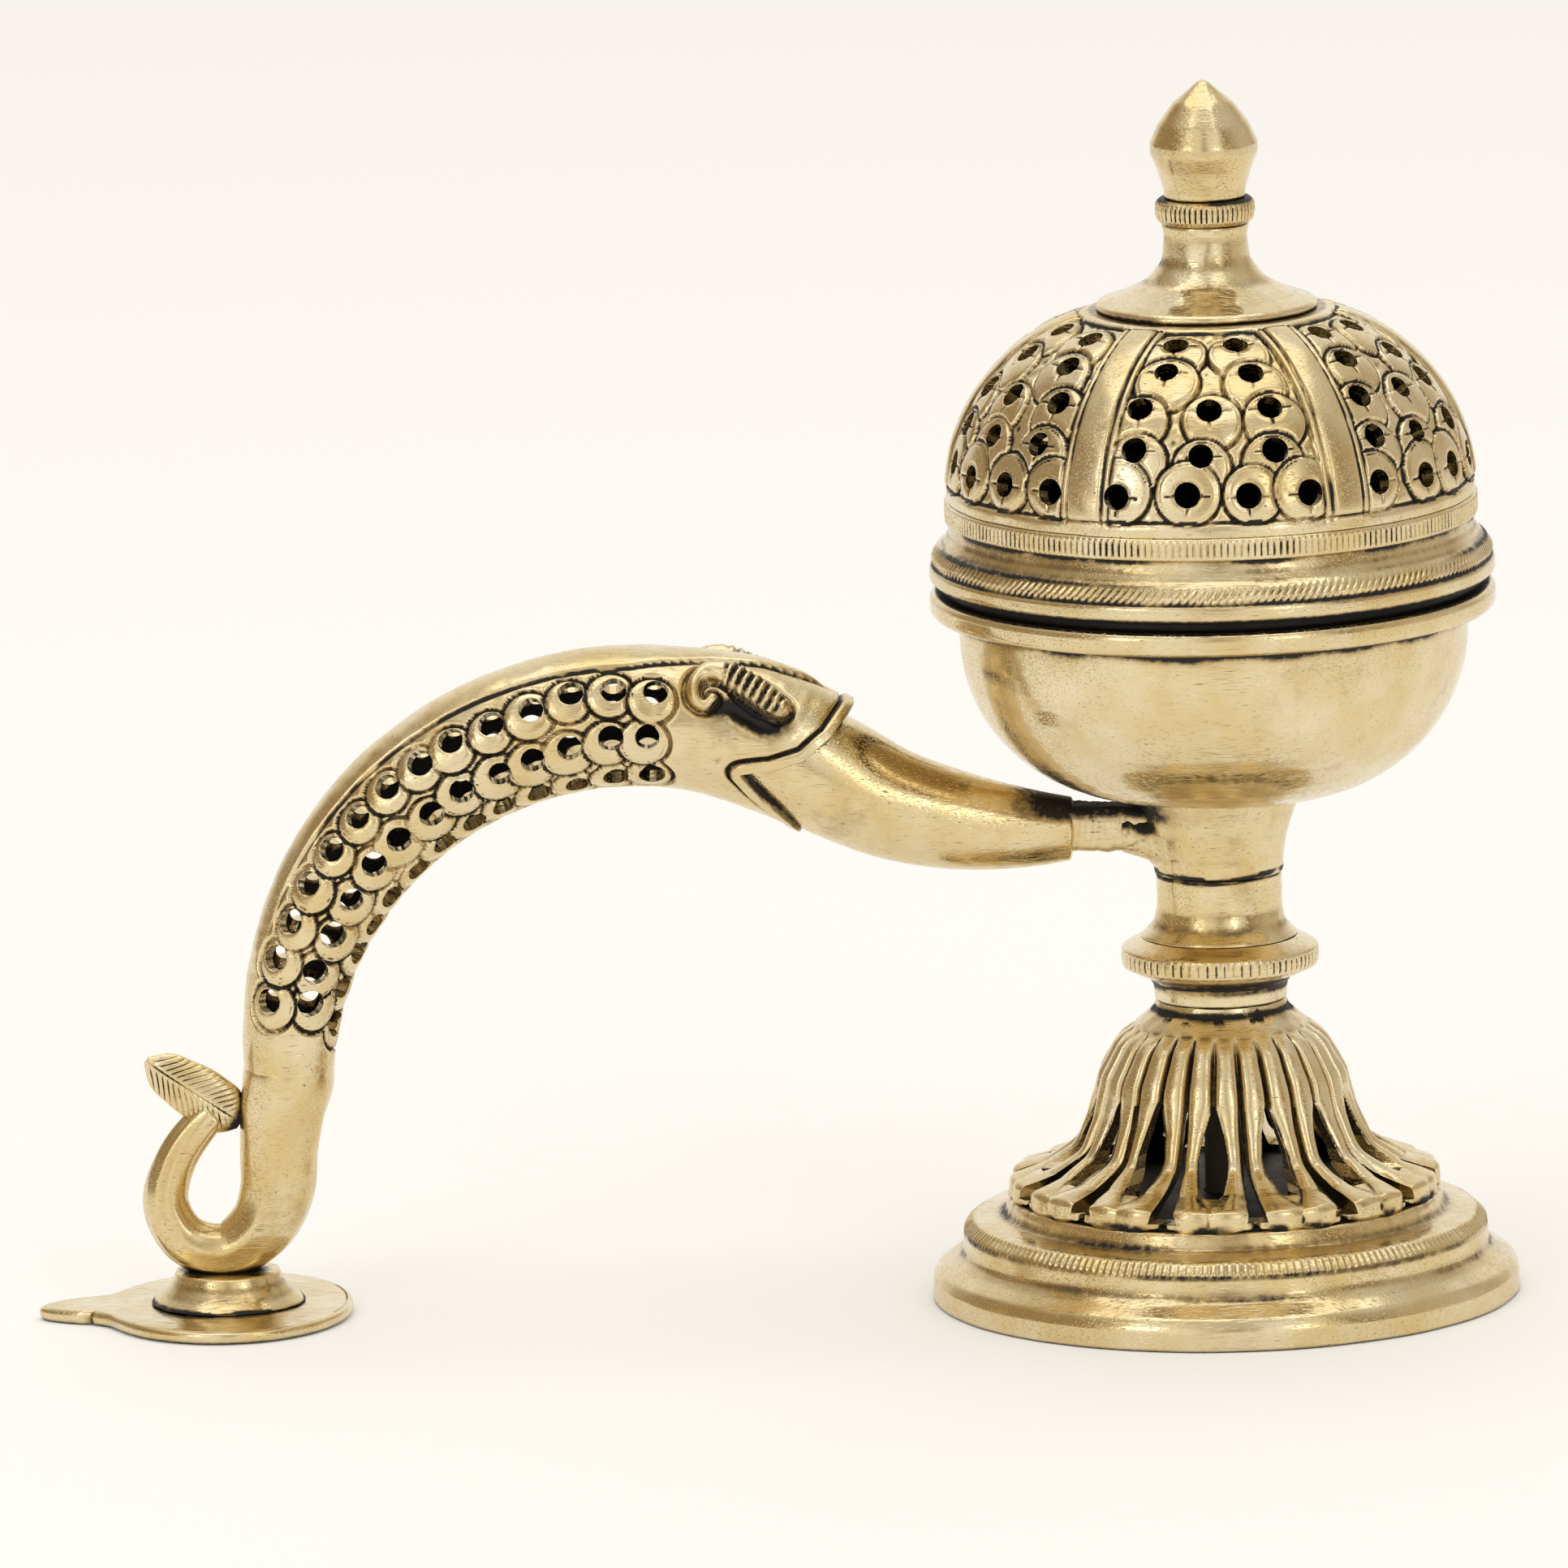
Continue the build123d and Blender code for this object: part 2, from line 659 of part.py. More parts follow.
PIECES = {
    "base_plate": base_plate,
    "lotus_bell": lotus_bell,
    "stem_collar": stem_collar,
    "stem_barrel": stem_barrel,
    "stem_neck": stem_neck,
    "bowl": bowl,
    "tie_rod": tie_rod,
    "bowl_washer": bowl_washer,
    "bowl_nut": bowl_nut,
    "base_washer": base_washer,
    "base_nut": base_nut,
    "lid_rim": lid_rim,
    "lid_dome": lid_dome,
    "lid_neck": lid_neck,
    "finial_collar": finial_collar,
    "finial_bud": finial_bud,
    "finial_stud": finial_stud,
    "lid_washer": lid_washer,
    "lid_nut": lid_nut,
    "handle_tube": handle_tube,
    "tail": tail,
    "tail_fin": tail_fin,
    "foot_plate": foot_plate,
    "foot_boss": foot_boss,
    "foot_rivet": foot_rivet,
    "snout": snout,
    "head": head,
    "brow_near": brow_near,
    "brow_far": brow_far,
    "back_ridge": back_ridge,
    "handle_lug": handle_lug,
    "braze_collar": braze_collar,
}

for piece_name, finished in PIECES.items():
    save(finished, piece_name)
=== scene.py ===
import math

import bpy
import numpy as np
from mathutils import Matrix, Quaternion, Vector


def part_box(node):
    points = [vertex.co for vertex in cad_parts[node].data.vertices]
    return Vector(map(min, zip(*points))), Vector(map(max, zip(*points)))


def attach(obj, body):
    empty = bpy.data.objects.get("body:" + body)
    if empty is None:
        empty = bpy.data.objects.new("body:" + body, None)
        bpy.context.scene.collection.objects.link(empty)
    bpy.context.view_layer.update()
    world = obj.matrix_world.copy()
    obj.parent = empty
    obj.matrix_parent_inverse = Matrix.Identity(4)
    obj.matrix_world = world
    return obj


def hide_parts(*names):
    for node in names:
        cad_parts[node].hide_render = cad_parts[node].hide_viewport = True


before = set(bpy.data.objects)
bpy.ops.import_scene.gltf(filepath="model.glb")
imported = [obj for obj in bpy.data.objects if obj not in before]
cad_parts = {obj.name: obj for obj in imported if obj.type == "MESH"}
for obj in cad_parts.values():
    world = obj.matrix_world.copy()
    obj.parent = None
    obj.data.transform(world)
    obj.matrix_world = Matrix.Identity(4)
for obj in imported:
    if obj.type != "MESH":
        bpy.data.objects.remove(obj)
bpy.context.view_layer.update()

# A brass incense censer. Every visible piece is a skin of rings round a path or an axis, pushed in
# and out by its relief: scales, ribs, milled teeth, petals, brows. The fasteners inside keep the
# meshes of the frame. Shapes are worked out in millimetres, in the frame's own axes, and turned into
# metres when the mesh is made.
MM = 0.001
TURN = 2 * math.pi
random = np.random.default_rng(7)


def span(node):
    """The lowest and highest corner of a CAD node, in millimetres."""
    low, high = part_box(node)
    return np.array(low) / MM, np.array(high) / MM


BASE_LOW, BASE_HIGH = span("base_plate")
STAND_X = (BASE_LOW[0] + BASE_HIGH[0]) / 2
DOME_LOW, DOME_HIGH = span("lid_dome")
RIM_LOW, RIM_HIGH = span("lid_rim")
BOWL_LOW, BOWL_HIGH = span("bowl")
BELL_LOW, BELL_HIGH = span("lotus_bell")
PLATE_TOP = BASE_HIGH[2]
STAND = np.array([STAND_X, 0, 0])


# ---------------------------------------------------------------- mesh making


def unit(value):
    """A value held between 0 and 1."""
    return np.clip(value, 0, 1)


def round_axis(r, z, turn):
    """Points at a radius, a height and a turn round the upright axis through the origin."""
    return np.stack([r * np.cos(turn), r * np.sin(turn), z], axis=-1)


def turn_grid(rows, columns):
    """The turn of every point of a grid of rings."""
    return np.repeat((np.arange(columns) * TURN / columns)[None, :], rows, axis=0)


def mark_patina_and_shade(mesh, shade):
    """Store how black each point of a mesh is, from 0 to 1: tarnish, and painted shade on faces that sit
    in the dark.
    """
    layer = mesh.attributes.new("patina_and_shade", "FLOAT", "POINT")
    layer.data.foreach_set("value", np.asarray(shade, np.float32))


def skin(name, rings, closed=False, patina_and_shade=None, body="censer"):
    """A closed mesh through rings of points (ring, point, xyz), in millimetres. It is capped by a
    point at each end, or joined end to end."""
    rings = np.asarray(rings, float)
    count, around = rings.shape[:2]
    points = rings.reshape(-1, 3)
    here = np.arange(count * around).reshape(count, around)
    beside = np.roll(here, -1, axis=1)
    if closed:
        ahead, beside_ahead = np.roll(here, -1, axis=0), np.roll(beside, -1, axis=0)
    else:
        here, ahead = here[:-1], here[1:]
        beside, beside_ahead = beside[:-1], beside[1:]
    quads = np.stack([here, beside, beside_ahead, ahead], axis=-1).reshape(-1, 4)
    faces = quads.tolist()
    shade = np.zeros(len(points)) if patina_and_shade is None else np.asarray(patina_and_shade, float).reshape(-1)
    if not closed:
        first, last = rings[0].mean(axis=0), rings[-1].mean(axis=0)
        start, end = len(points), len(points) + 1
        points = np.vstack([points, first, last])
        shade = np.append(shade, [shade[:around].mean(), shade[-around:].mean()])
        low, high = np.arange(around), np.arange(around) + (count - 1) * around
        faces += np.stack([np.roll(low, -1), low, np.full(around, start)], axis=-1).tolist()
        faces += np.stack([high, np.roll(high, -1), np.full(around, end)], axis=-1).tolist()
    corners = points[quads]
    area = np.cross(corners[:, 2] - corners[:, 0], corners[:, 3] - corners[:, 1])
    if (corners.mean(axis=1) * area).sum() < 0:
        faces = [face[::-1] for face in faces]
    mesh = bpy.data.meshes.new(name)
    mesh.from_pydata((points * MM).tolist(), [], faces)
    mesh.shade_smooth()
    mark_patina_and_shade(mesh, shade)
    piece = bpy.data.objects.new(name, mesh)
    bpy.context.scene.collection.objects.link(piece)
    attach(piece, body)
    return piece


def rounded(corners, pitch, closed=True):
    """Evenly spaced points along a polygon of (r, z, corner radius), with its corners rounded."""
    corners = np.array(corners, float)
    path = []
    count = len(corners)
    for i in range(count):
        here, radius = corners[i, :2], corners[i, 2]
        before, after = corners[i - 1, :2], corners[(i + 1) % count, :2]
        if radius <= 0 or (not closed and i in (0, count - 1)):
            path.append(here)
            continue
        back, on = before - here, after - here
        back_length, on_length = np.linalg.norm(back), np.linalg.norm(on)
        back, on = back / back_length, on / on_length
        half = math.acos(np.clip(back @ on, -1, 1)) / 2
        if half > 1.55:  # nearly straight
            path.append(here)
            continue
        cut = min(radius / math.tan(half), 0.48 * back_length, 0.48 * on_length)
        start, end = here + back * cut, here + on * cut
        for t in np.linspace(0, 1, 9):
            path.append((1 - t) ** 2 * start + 2 * t * (1 - t) * here + t**2 * end)
    path = np.array(path)
    if closed:
        path = np.vstack([path, path[:1]])
    steps = np.linalg.norm(np.diff(path, axis=0), axis=1)
    keep = np.append(True, steps > 1e-9)
    path, steps = path[keep], steps[steps > 1e-9]
    along = np.append(0, np.cumsum(steps))
    places = np.linspace(0, along[-1], max(8, int(along[-1] / pitch)) + 1)
    if closed:
        places = places[:-1]
    return np.stack([np.interp(places, along, path[:, k]) for k in (0, 1)], axis=1)


def lathe(path, around, axis_x, relief=None, closed=True):
    """Rings round an upright axis along a path of (r, z), pushed outwards by relief(r, z, turn)."""
    ahead = np.roll(path, -1, axis=0) - np.roll(path, 1, axis=0)
    if not closed:
        ahead = np.gradient(path, axis=0)
    ahead /= np.maximum(np.linalg.norm(ahead, axis=1), 1e-9)[:, None]
    sign = 1.0
    if closed:
        after = np.roll(path, -1, axis=0)
        enclosed = (path[:, 0] * after[:, 1] - after[:, 0] * path[:, 1]).sum()
        sign = 1.0 if enclosed > 0 else -1.0
    elif path[-1, 1] < path[0, 1]:
        sign = -1.0
    normal = np.stack([ahead[:, 1], -ahead[:, 0]], axis=1) * sign
    turn = np.arange(around) * TURN / around
    r, t = np.meshgrid(path[:, 0], turn, indexing="ij")
    z = np.repeat(path[:, 1:], around, axis=1)
    push = np.zeros_like(r) if relief is None else relief(r, z, t)
    r = r + push * normal[:, :1]
    z = z + push * normal[:, 1:]
    return round_axis(r, z, t) + np.array([axis_x, 0, 0])


def recess(rings, reach=10, depth=0.10, closed=False):
    """How far each point lies in a hollow, from 0 on open metal to 1 in a deep groove."""
    smooth = rings.copy()
    for _ in range(reach):
        ahead = np.roll(smooth, -1, axis=0)
        back = np.roll(smooth, 1, axis=0)
        if not closed:
            ahead[-1], back[0] = smooth[-1], smooth[0]
        beside = np.roll(smooth, 1, axis=1) + np.roll(smooth, -1, axis=1)
        smooth = (smooth + ahead + back + beside) / 5
    along = np.roll(rings, -1, axis=0) - np.roll(rings, 1, axis=0)
    if not closed:
        along[0], along[-1] = rings[1] - rings[0], rings[-1] - rings[-2]
    beside = np.roll(rings, -1, axis=1) - np.roll(rings, 1, axis=1)
    normal = np.cross(beside, along)
    normal /= np.maximum(np.linalg.norm(normal, axis=-1), 1e-12)[..., None]
    middle = rings.mean(axis=(0, 1) if closed else 1, keepdims=True)
    if (normal * (rings - middle)).sum() < 0:
        normal = -normal  # the grid ran the other way round
    return unit(((smooth - rings) * normal).sum(axis=-1) / depth)


def tarnish(rings, reach=10, depth=0.16, closed=False, seed=1):
    """Black patina in the hollows of a grid of rings, thicker in some places than in others."""
    patchy = 0.80 + 0.55 * lumps(rings, seed, 0.30)
    return unit(recess(rings, reach, depth, closed) * np.clip(patchy, 0.25, 1.4))


def lumps(points, seed, scale):
    """Smooth uneven waves through space, about one wave in each 6 / scale millimetres."""
    draw = np.random.default_rng(seed)
    total = np.zeros(points.shape[:-1])
    for _ in range(12):
        total += np.sin(points @ draw.normal(0, scale, 3) + draw.uniform(0, TURN))
    return total / 12**0.5


def wander(turn, seed, strength=1.0):
    """A slow, closed wobble round an axis, for hand-cut spacing."""
    draw = np.random.default_rng(seed)
    total = np.zeros_like(turn)
    for beat in (2, 3, 5, 8, 13):
        total = total + np.sin(beat * turn + draw.uniform(0, TURN)) / beat
    return total * strength


def groove(distance, width):
    """A round-bottomed cut, 1 on its line."""
    return np.exp(-((distance / width) ** 2))


def plateau(distance, edge):
    """1 inside (distance below 0), falling to 0 over the edge's width."""
    return 1 / (1 + np.exp(np.clip(distance / edge, -40, 40)))


def teeth(turn, count, seed, share=0.3):
    """Milled teeth round an axis: 1 in a notch and 0 on a tooth."""
    phase = (turn * count / TURN + wander(turn, seed, 0.5)) % 1.0
    notch = np.minimum(phase, 1 - phase) * 2
    return plateau(notch - share, 0.08) * (0.75 + 0.25 * np.sin(turn * 17 + seed))


def bored(piece, cutters):
    """Cut holes through a piece with closed cutter meshes, and leave their walls black with painted shade.
    """
    scene = bpy.context.scene
    cutter = bpy.data.objects.new("cutter", cutters)
    scene.collection.objects.link(cutter)
    cut = piece.modifiers.new("holes", "BOOLEAN")
    cut.operation = "DIFFERENCE"
    cut.solver = "MANIFOLD"
    cut.object = cutter
    graph = bpy.context.evaluated_depsgraph_get()
    mesh = bpy.data.meshes.new_from_object(piece.evaluated_get(graph))
    piece.modifiers.clear()
    piece.data = mesh
    bpy.data.objects.remove(cutter)
    return piece


def prisms(outlines):
    """One mesh of closed prisms, each given by its two end outlines of the same number of points."""
    points, faces = [], []
    for near, far in outlines:
        start, count = len(points), len(near)
        points += (np.concatenate([near, far]) * MM).tolist()
        ring = list(range(start, start + count))
        faces.append(ring[::-1])
        faces.append([i + count for i in ring])
        for i in range(count):
            j = (i + 1) % count
            faces.append([start + i, start + j, start + j + count, start + i + count])
    mesh = bpy.data.meshes.new("cutters")
    mesh.from_pydata(points, [], faces)
    # Every cutter face is fully black, which paints shade on the walls of the holes.
    mark_patina_and_shade(mesh, np.ones(len(points)))
    for polygon in mesh.polygons:
        polygon.use_smooth = False
    return mesh


def drill(centre, direction, radius, outer, inner, sides=28):
    """The two ends of a round drill through a wall, from outer to inner along its direction."""
    direction = np.asarray(direction, float)
    helper = np.array([0, 0, 1.0]) if abs(direction[2]) < 0.9 else np.array([1.0, 0, 0])
    u = np.cross(helper, direction)
    u /= np.linalg.norm(u)
    v = np.cross(direction, u)
    turn = np.arange(sides) * TURN / sides
    ring = centre + radius * (np.cos(turn)[:, None] * u + np.sin(turn)[:, None] * v)
    return ring - direction * inner, ring + direction * outer


# ---------------------------------------------------------------- materials


class Nodes:
    """A short way to write the node tree of a material or of the world."""

    def __init__(self, owner):
        owner.use_nodes = True
        self.tree = owner.node_tree
        self.tree.nodes.clear()

    def add(self, kind, inputs=None, **settings):
        node = self.tree.nodes.new(kind)
        for key, value in settings.items():
            setattr(node, key, value)
        for key, value in (inputs or {}).items():
            if isinstance(value, bpy.types.NodeSocket):
                self.tree.links.new(value, node.inputs[key])
            else:
                node.inputs[key].default_value = value
        return node

    def product(self, a, b, clamp=False):
        return self.maths("MULTIPLY", a, b, clamp)

    def largest(self, a, b):
        return self.maths("MAXIMUM", a, b)

    def maths(self, operation, a, b=0.5, clamp=False):
        node = self.add("ShaderNodeMath", {0: a, 1: b}, operation=operation)
        node.use_clamp = clamp
        return node.outputs[0]

    def vector(self, operation, a, b):
        return self.add("ShaderNodeVectorMath", {0: a, 1: b}, operation=operation).outputs[0]

    def noise(self, vector, scale, detail=2.0, roughness=0.5):
        inputs = {"Vector": vector, "Scale": scale, "Detail": detail, "Roughness": roughness}
        return self.add("ShaderNodeTexNoise", inputs).outputs["Fac"]

    def ramp(self, value, low, high, to_low=0.0, to_high=1.0):
        inputs = {"Value": value, "From Min": low, "From Max": high}
        inputs.update({"To Min": to_low, "To Max": to_high})
        return self.add("ShaderNodeMapRange", inputs).outputs[0]

    def mix(self, factor, a, b):
        # Sockets 6 and 7 are the colours, and output 2 is the mixed colour
        return self.add("ShaderNodeMix", {0: factor, 6: a, 7: b}, data_type="RGBA").outputs[2]


PALE = (0.80, 0.69, 0.46, 1)
GOLDEN = (0.71, 0.55, 0.27, 1)
HALO = (0.36, 0.24, 0.09, 1)
STAINED = (0.42, 0.29, 0.13, 1)
SCUFFED = (0.30, 0.21, 0.10, 1)
BLACKENED = (0.012, 0.010, 0.009, 1)


def brass(name, turned, grime, rough, soot_and_shade=0.0):
    """Polished brass with fine scratches, and black patina in its hollows. turned is how strongly
    lathe lines run round the stand's axis, grime is how much patina lies in pits, rough is its
    roughness, and the last argument is how much black covers all of it: soot, with painted shade
    on the hidden fasteners."""
    material = bpy.data.materials.new(name)
    n = Nodes(material)
    place = n.add("ShaderNodeTexCoord").outputs["Object"]
    centred = n.vector("SUBTRACT", place, (STAND_X * MM, 0, 0))
    x, y, z = n.add("ShaderNodeSeparateXYZ", {0: centred}).outputs
    reach = n.maths("SQRT", n.maths("ADD", n.product(x, x), n.product(y, y)))
    around = n.maths("ARCTAN2", y, x)

    # Lines left by the lathe, and strokes of the polishing cloth and of wear in three directions
    polar = n.add("ShaderNodeCombineXYZ", {0: n.product(around, 0.006), 1: reach, 2: z})
    lines = n.noise(polar.outputs[0], 1900.0, 2.0)
    strokes = []
    for tilt, swing, shift in ((0.5, 0.4, 0.0), (-0.7, 1.3, 3.1), (1.2, -0.5, 7.7)):
        mapping = n.add("ShaderNodeMapping", {"Vector": place})
        mapping.inputs["Location"].default_value = (shift, shift, shift)
        mapping.inputs["Rotation"].default_value = (tilt, swing, shift)
        mapping.inputs["Scale"].default_value = (260.0, 3600.0, 3600.0)
        strokes.append(n.noise(mapping.outputs[0], 1.0, 1.0))
    strongest = n.largest(n.largest(strokes[0], strokes[1]), strokes[2])
    hairline = n.ramp(strongest, 0.62, 0.78)
    scratch = n.ramp(strongest, 0.765, 0.80)

    broad = n.noise(place, 30.0, 3.0)
    cloud = n.noise(place, 120.0, 4.0, 0.6)
    pits = n.ramp(n.noise(place, 1300.0, 2.0), 0.70, 0.80)

    # Black lies where the mesh is marked (tarnish, and painted shade on inner faces, in gaps and under the
    # bowl), in sheltered corners, in pits and along the deepest scratches
    mark = n.add("ShaderNodeAttribute", attribute_name="patina_and_shade", attribute_type="GEOMETRY")
    shelter = n.add("ShaderNodeAmbientOcclusion", {"Distance": 0.0016}, samples=6)
    sheltered = n.ramp(shelter.outputs["AO"], 0.50, 0.14)
    ragged = n.ramp(n.noise(place, 800.0, 3.0, 0.65), 0.30, 0.70, 0.55, 1.30)
    covered = n.product(n.largest(mark.outputs["Fac"], sheltered), ragged, clamp=True)
    speck = n.product(n.product(pits, cloud), grime, clamp=True)
    dark = n.largest(n.largest(n.ramp(covered, 0.20, 0.55), speck), soot_and_shade)
    dark = n.largest(dark, n.product(scratch, 0.55))

    mottle = n.maths("ADD", n.product(broad, 0.5), n.product(cloud, 0.5))
    darkening = n.ramp(n.noise(place, 75.0, 5.0, 0.7), 0.60, 0.72, 0.0, 0.5)
    metal = n.mix(n.ramp(mottle, 0.38, 0.62), PALE, GOLDEN)
    metal = n.mix(n.product(n.ramp(covered, 0.01, 0.28), 0.75), metal, HALO)
    metal = n.mix(darkening, metal, STAINED)
    metal = n.mix(n.product(hairline, 0.22), metal, SCUFFED)
    colour = n.mix(dark, metal, BLACKENED)

    gloss = n.ramp(cloud, 0.30, 0.70, rough - 0.05, rough + 0.07)
    gloss = n.maths("ADD", gloss, n.product(hairline, 0.10))
    gloss = n.maths("ADD", gloss, n.product(dark, 0.35), clamp=True)

    height = n.product(lines, 0.55 * turned)
    height = n.maths("SUBTRACT", height, n.product(hairline, 0.75))
    height = n.maths("SUBTRACT", height, n.product(pits, 0.8))
    height = n.maths("ADD", height, n.product(cloud, 1.1))
    bump = n.add("ShaderNodeBump", {"Strength": 0.6, "Distance": 0.00006, "Height": height})

    inputs = {
        "Base Color": colour,
        "Metallic": n.ramp(dark, 0.0, 1.0, 1.0, 0.4),
        "Roughness": gloss,
        "Normal": bump.outputs[0],
    }
    shader = n.add("ShaderNodeBsdfPrincipled", inputs)
    n.add("ShaderNodeOutputMaterial", {"Surface": shader.outputs[0]})
    return material


TURNED = brass("turned_brass", turned=0.7, grime=0.7, rough=0.13)
CAST = brass("cast_brass", turned=0.0, grime=1.3, rough=0.18)
BRAZED = brass("brazed_brass", turned=0.0, grime=3.0, rough=0.36)
HIDDEN = brass("fastener_brass", turned=0.6, grime=2.0, rough=0.30, soot_and_shade=0.93)


def finish_piece(piece, material, slot, *nodes):
    """Give a piece its metal and hide the CAD nodes it stands for."""
    piece.data.materials.clear()
    piece.data.materials.append(material)
    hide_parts(*nodes)


# ---------------------------------------------------------------- stand


def turned_piece(
    node, corners, relief, darkening, pitch=0.40, around=256, body="censer", axis=STAND_X, closed=True,
    depth=0.34, seed=1,
):
    """One lathe-turned piece that stands for a CAD node. The given function of (r, z, turn) adds black of
    its own: tarnish, and on some pieces painted shade.
    """
    path = rounded(corners, pitch, closed)
    rings = lathe(path, around, axis, relief, closed)
    x, y, z = rings[..., 0] - axis, rings[..., 1], rings[..., 2]
    added = darkening(np.hypot(x, y), z, np.arctan2(y, x) % TURN)
    patina_and_shade = unit(tarnish(rings, depth=depth, closed=closed, seed=seed) + added)
    piece = skin(node + "_turned", rings, closed, patina_and_shade, body)
    finish_piece(piece, TURNED, "turned_brass", node)
    return piece


def base_relief(r, z, turn):
    """Radial chased strokes over the base's shoulder, and the slight waves of hand finishing."""
    band = plateau(39.0 - r, 0.12) * plateau(10.9 - z, 0.10)
    strokes = teeth(turn, 212, 3, 0.34)
    soft = 0.10 * wander(turn, 5) * plateau(30 - r, 1.0) * plateau(r - 43.0, 0.5)
    dent = 0.06 * lumps(round_axis(r, z, turn), 93, 0.35)
    return soft + dent * plateau(30 - r, 1.0) - 0.45 * strokes * band


def base_stain_and_shade(r, z, turn):
    """Painted shade on the plate inside the bell and on the hollow under the plate, black round the bell's
    foot, and thin broken lines where the steps meet."""
    # Painted shade on the plate's top inside the bell.
    inside = plateau(r - 29.5, 0.5) * plateau(PLATE_TOP - 0.8 - z, 0.1)
    foot = plateau(np.abs(r - 31.8) - 1.1, 0.4) * plateau(12.9 - z, 0.2)
    broken = unit(0.15 + 1.1 * wander(turn * 2.0, 91) + 0.5 * np.sin(turn * 57))
    step = groove(z - 7.2, 0.25) * plateau(40.0 - r, 0.2) * unit(wander(turn, 92) - 0.3)
    step = step + 1.1 * groove(r - 40.55, 0.22) * plateau(np.abs(z - 10.6) - 0.3, 0.1)
    # Painted shade on the hollow under the plate.
    ceiling = plateau(z - 10.8, 0.3) * plateau(r - 38.4, 0.1)
    return inside + foot * broken + 0.8 * step + ceiling


def make_base():
    edge = (BASE_HIGH[0] - BASE_LOW[0]) / 2
    corners = [
        (3.2, PLATE_TOP, 0), (33.4, PLATE_TOP, 0.8), (34.0, 13.4, 1.2), (38.9, 12.6, 0.5),
        (40.35, 11.3, 0.5), (40.7, 7.6, 1.2), (42.0, 6.5, 1.6), (44.5, 4.9, 1.2), (edge, 3.4, 0.8),
        (edge, 0.0, 0.4), (43.0, 0.0, 0.3), (38.4, 5.0, 1.0), (38.0, 10.2, 1.0), (31.4, 10.4, 0.6),
        (31.4, PLATE_TOP - 2.4, 1.0), (3.2, PLATE_TOP - 2.4, 0),
    ]
    turned_piece(
        "base_plate", corners, base_relief, base_stain_and_shade, pitch=0.42, around=1000, depth=0.55, seed=2
    )


BELL_PETALS = 14
BELL_TURN = math.radians(270 - 5.7)


def bell_path():
    """The bell's outer and inner outline, from the collar down to the petals' tips and back."""
    top, foot = BELL_HIGH[2], BELL_LOW[2]
    corners = [
        (3.2, top, 0), (10.15, top, 0.02), (10.6, 45.2, 1.0), (15.4, 41.0, 5.0), (18.7, 35.0, 6.0),
        (20.2, 29.0, 8.0), (22.6, 23.6, 4.5), (27.6, 20.6, 3.0), (32.8, 18.9, 0.9),
        (33.0, foot, 0.6), (30.0, foot, 0.5), (26.6, 18.0, 3.0), (20.6, 21.8, 4.0),
        (18.0, 28.5, 5.0), (16.6, 35.0, 5.0), (12.0, 41.0, 2.0), (3.2, 41.2, 0),
    ]
    return rounded(corners, 0.30)


def bell_lines(turn):
    """The nearest window line and the nearest gap line, as signed turns."""
    step = TURN / BELL_PETALS
    to_window = (turn - BELL_TURN + step / 2) % step - step / 2
    to_gap = (turn - BELL_TURN) % step - step / 2
    return to_window, to_gap


def window_half(z):
    """Half the width of a petal's window, in millimetres, at a height."""
    heights = [19.4, 20.2, 22.0, 25.0, 28.0, 30.5, 32.4, 33.0]
    return np.interp(z, heights, [0.4, 1.45, 1.95, 2.05, 1.5, 0.85, 0.25, 0.0])


def gap_half(z):
    """Half the width of the gap between two petals, at a height."""
    heights = [16.9, 18.5, 20.5, 22.0, 24.0, 30.0, 32.5]
    return np.interp(z, heights, [1.9, 1.5, 0.95, 0.60, 0.40, 0.24, 0.0])


def bell_relief(r, z, turn):
    """Smooth strands between cut lines, with a fine raised edge along each opening."""
    outside = outer_side(r, z)
    to_window, to_gap = bell_lines(turn + 0.006 * wander(turn, 21) * unit((44 - z) / 8))
    window, gap = np.abs(to_window) * r, np.abs(to_gap) * r
    fade = unit((42.6 - z) / 3.0)
    wide = 0.32 + 0.012 * np.clip(40 - z, 0, 20)
    above_window = groove(window, wide) * plateau(32.4 - z, 0.4)
    line = np.maximum(above_window, groove(gap, wide)) * 1.15 * fade
    to_edge = np.maximum(window - window_half(z) * plateau(18.6 - z, 0.3), 0)
    to_slit = np.maximum(gap - gap_half(z), 0)
    crown = 1 - np.abs((to_edge - to_slit) / np.maximum(to_edge + to_slit, 0.1)) ** 2.2
    lip = plateau(24.5 - r, 1.5)
    push = 0.75 * crown * fade * (1 - 0.5 * lip) + 0.35 * lip * unit(1 - (window / 6.2) ** 2) - line
    rough = 0.07 * lumps(round_axis(r, z, turn), 23, 0.7)
    return (push + rough) * outside - 0.25


def outer_side(r, z):
    """1 on the bell's outer face and 0 on its inner face."""
    heights = [16.0, 18.4, 20.4, 24.0, 28.8, 35.0, 40.0, 44.0]
    middle = np.interp(z, heights, [31.5, 29.6, 24.8, 20.6, 19.0, 17.4, 13.6, 6.0])
    return plateau(middle - r, 0.1)


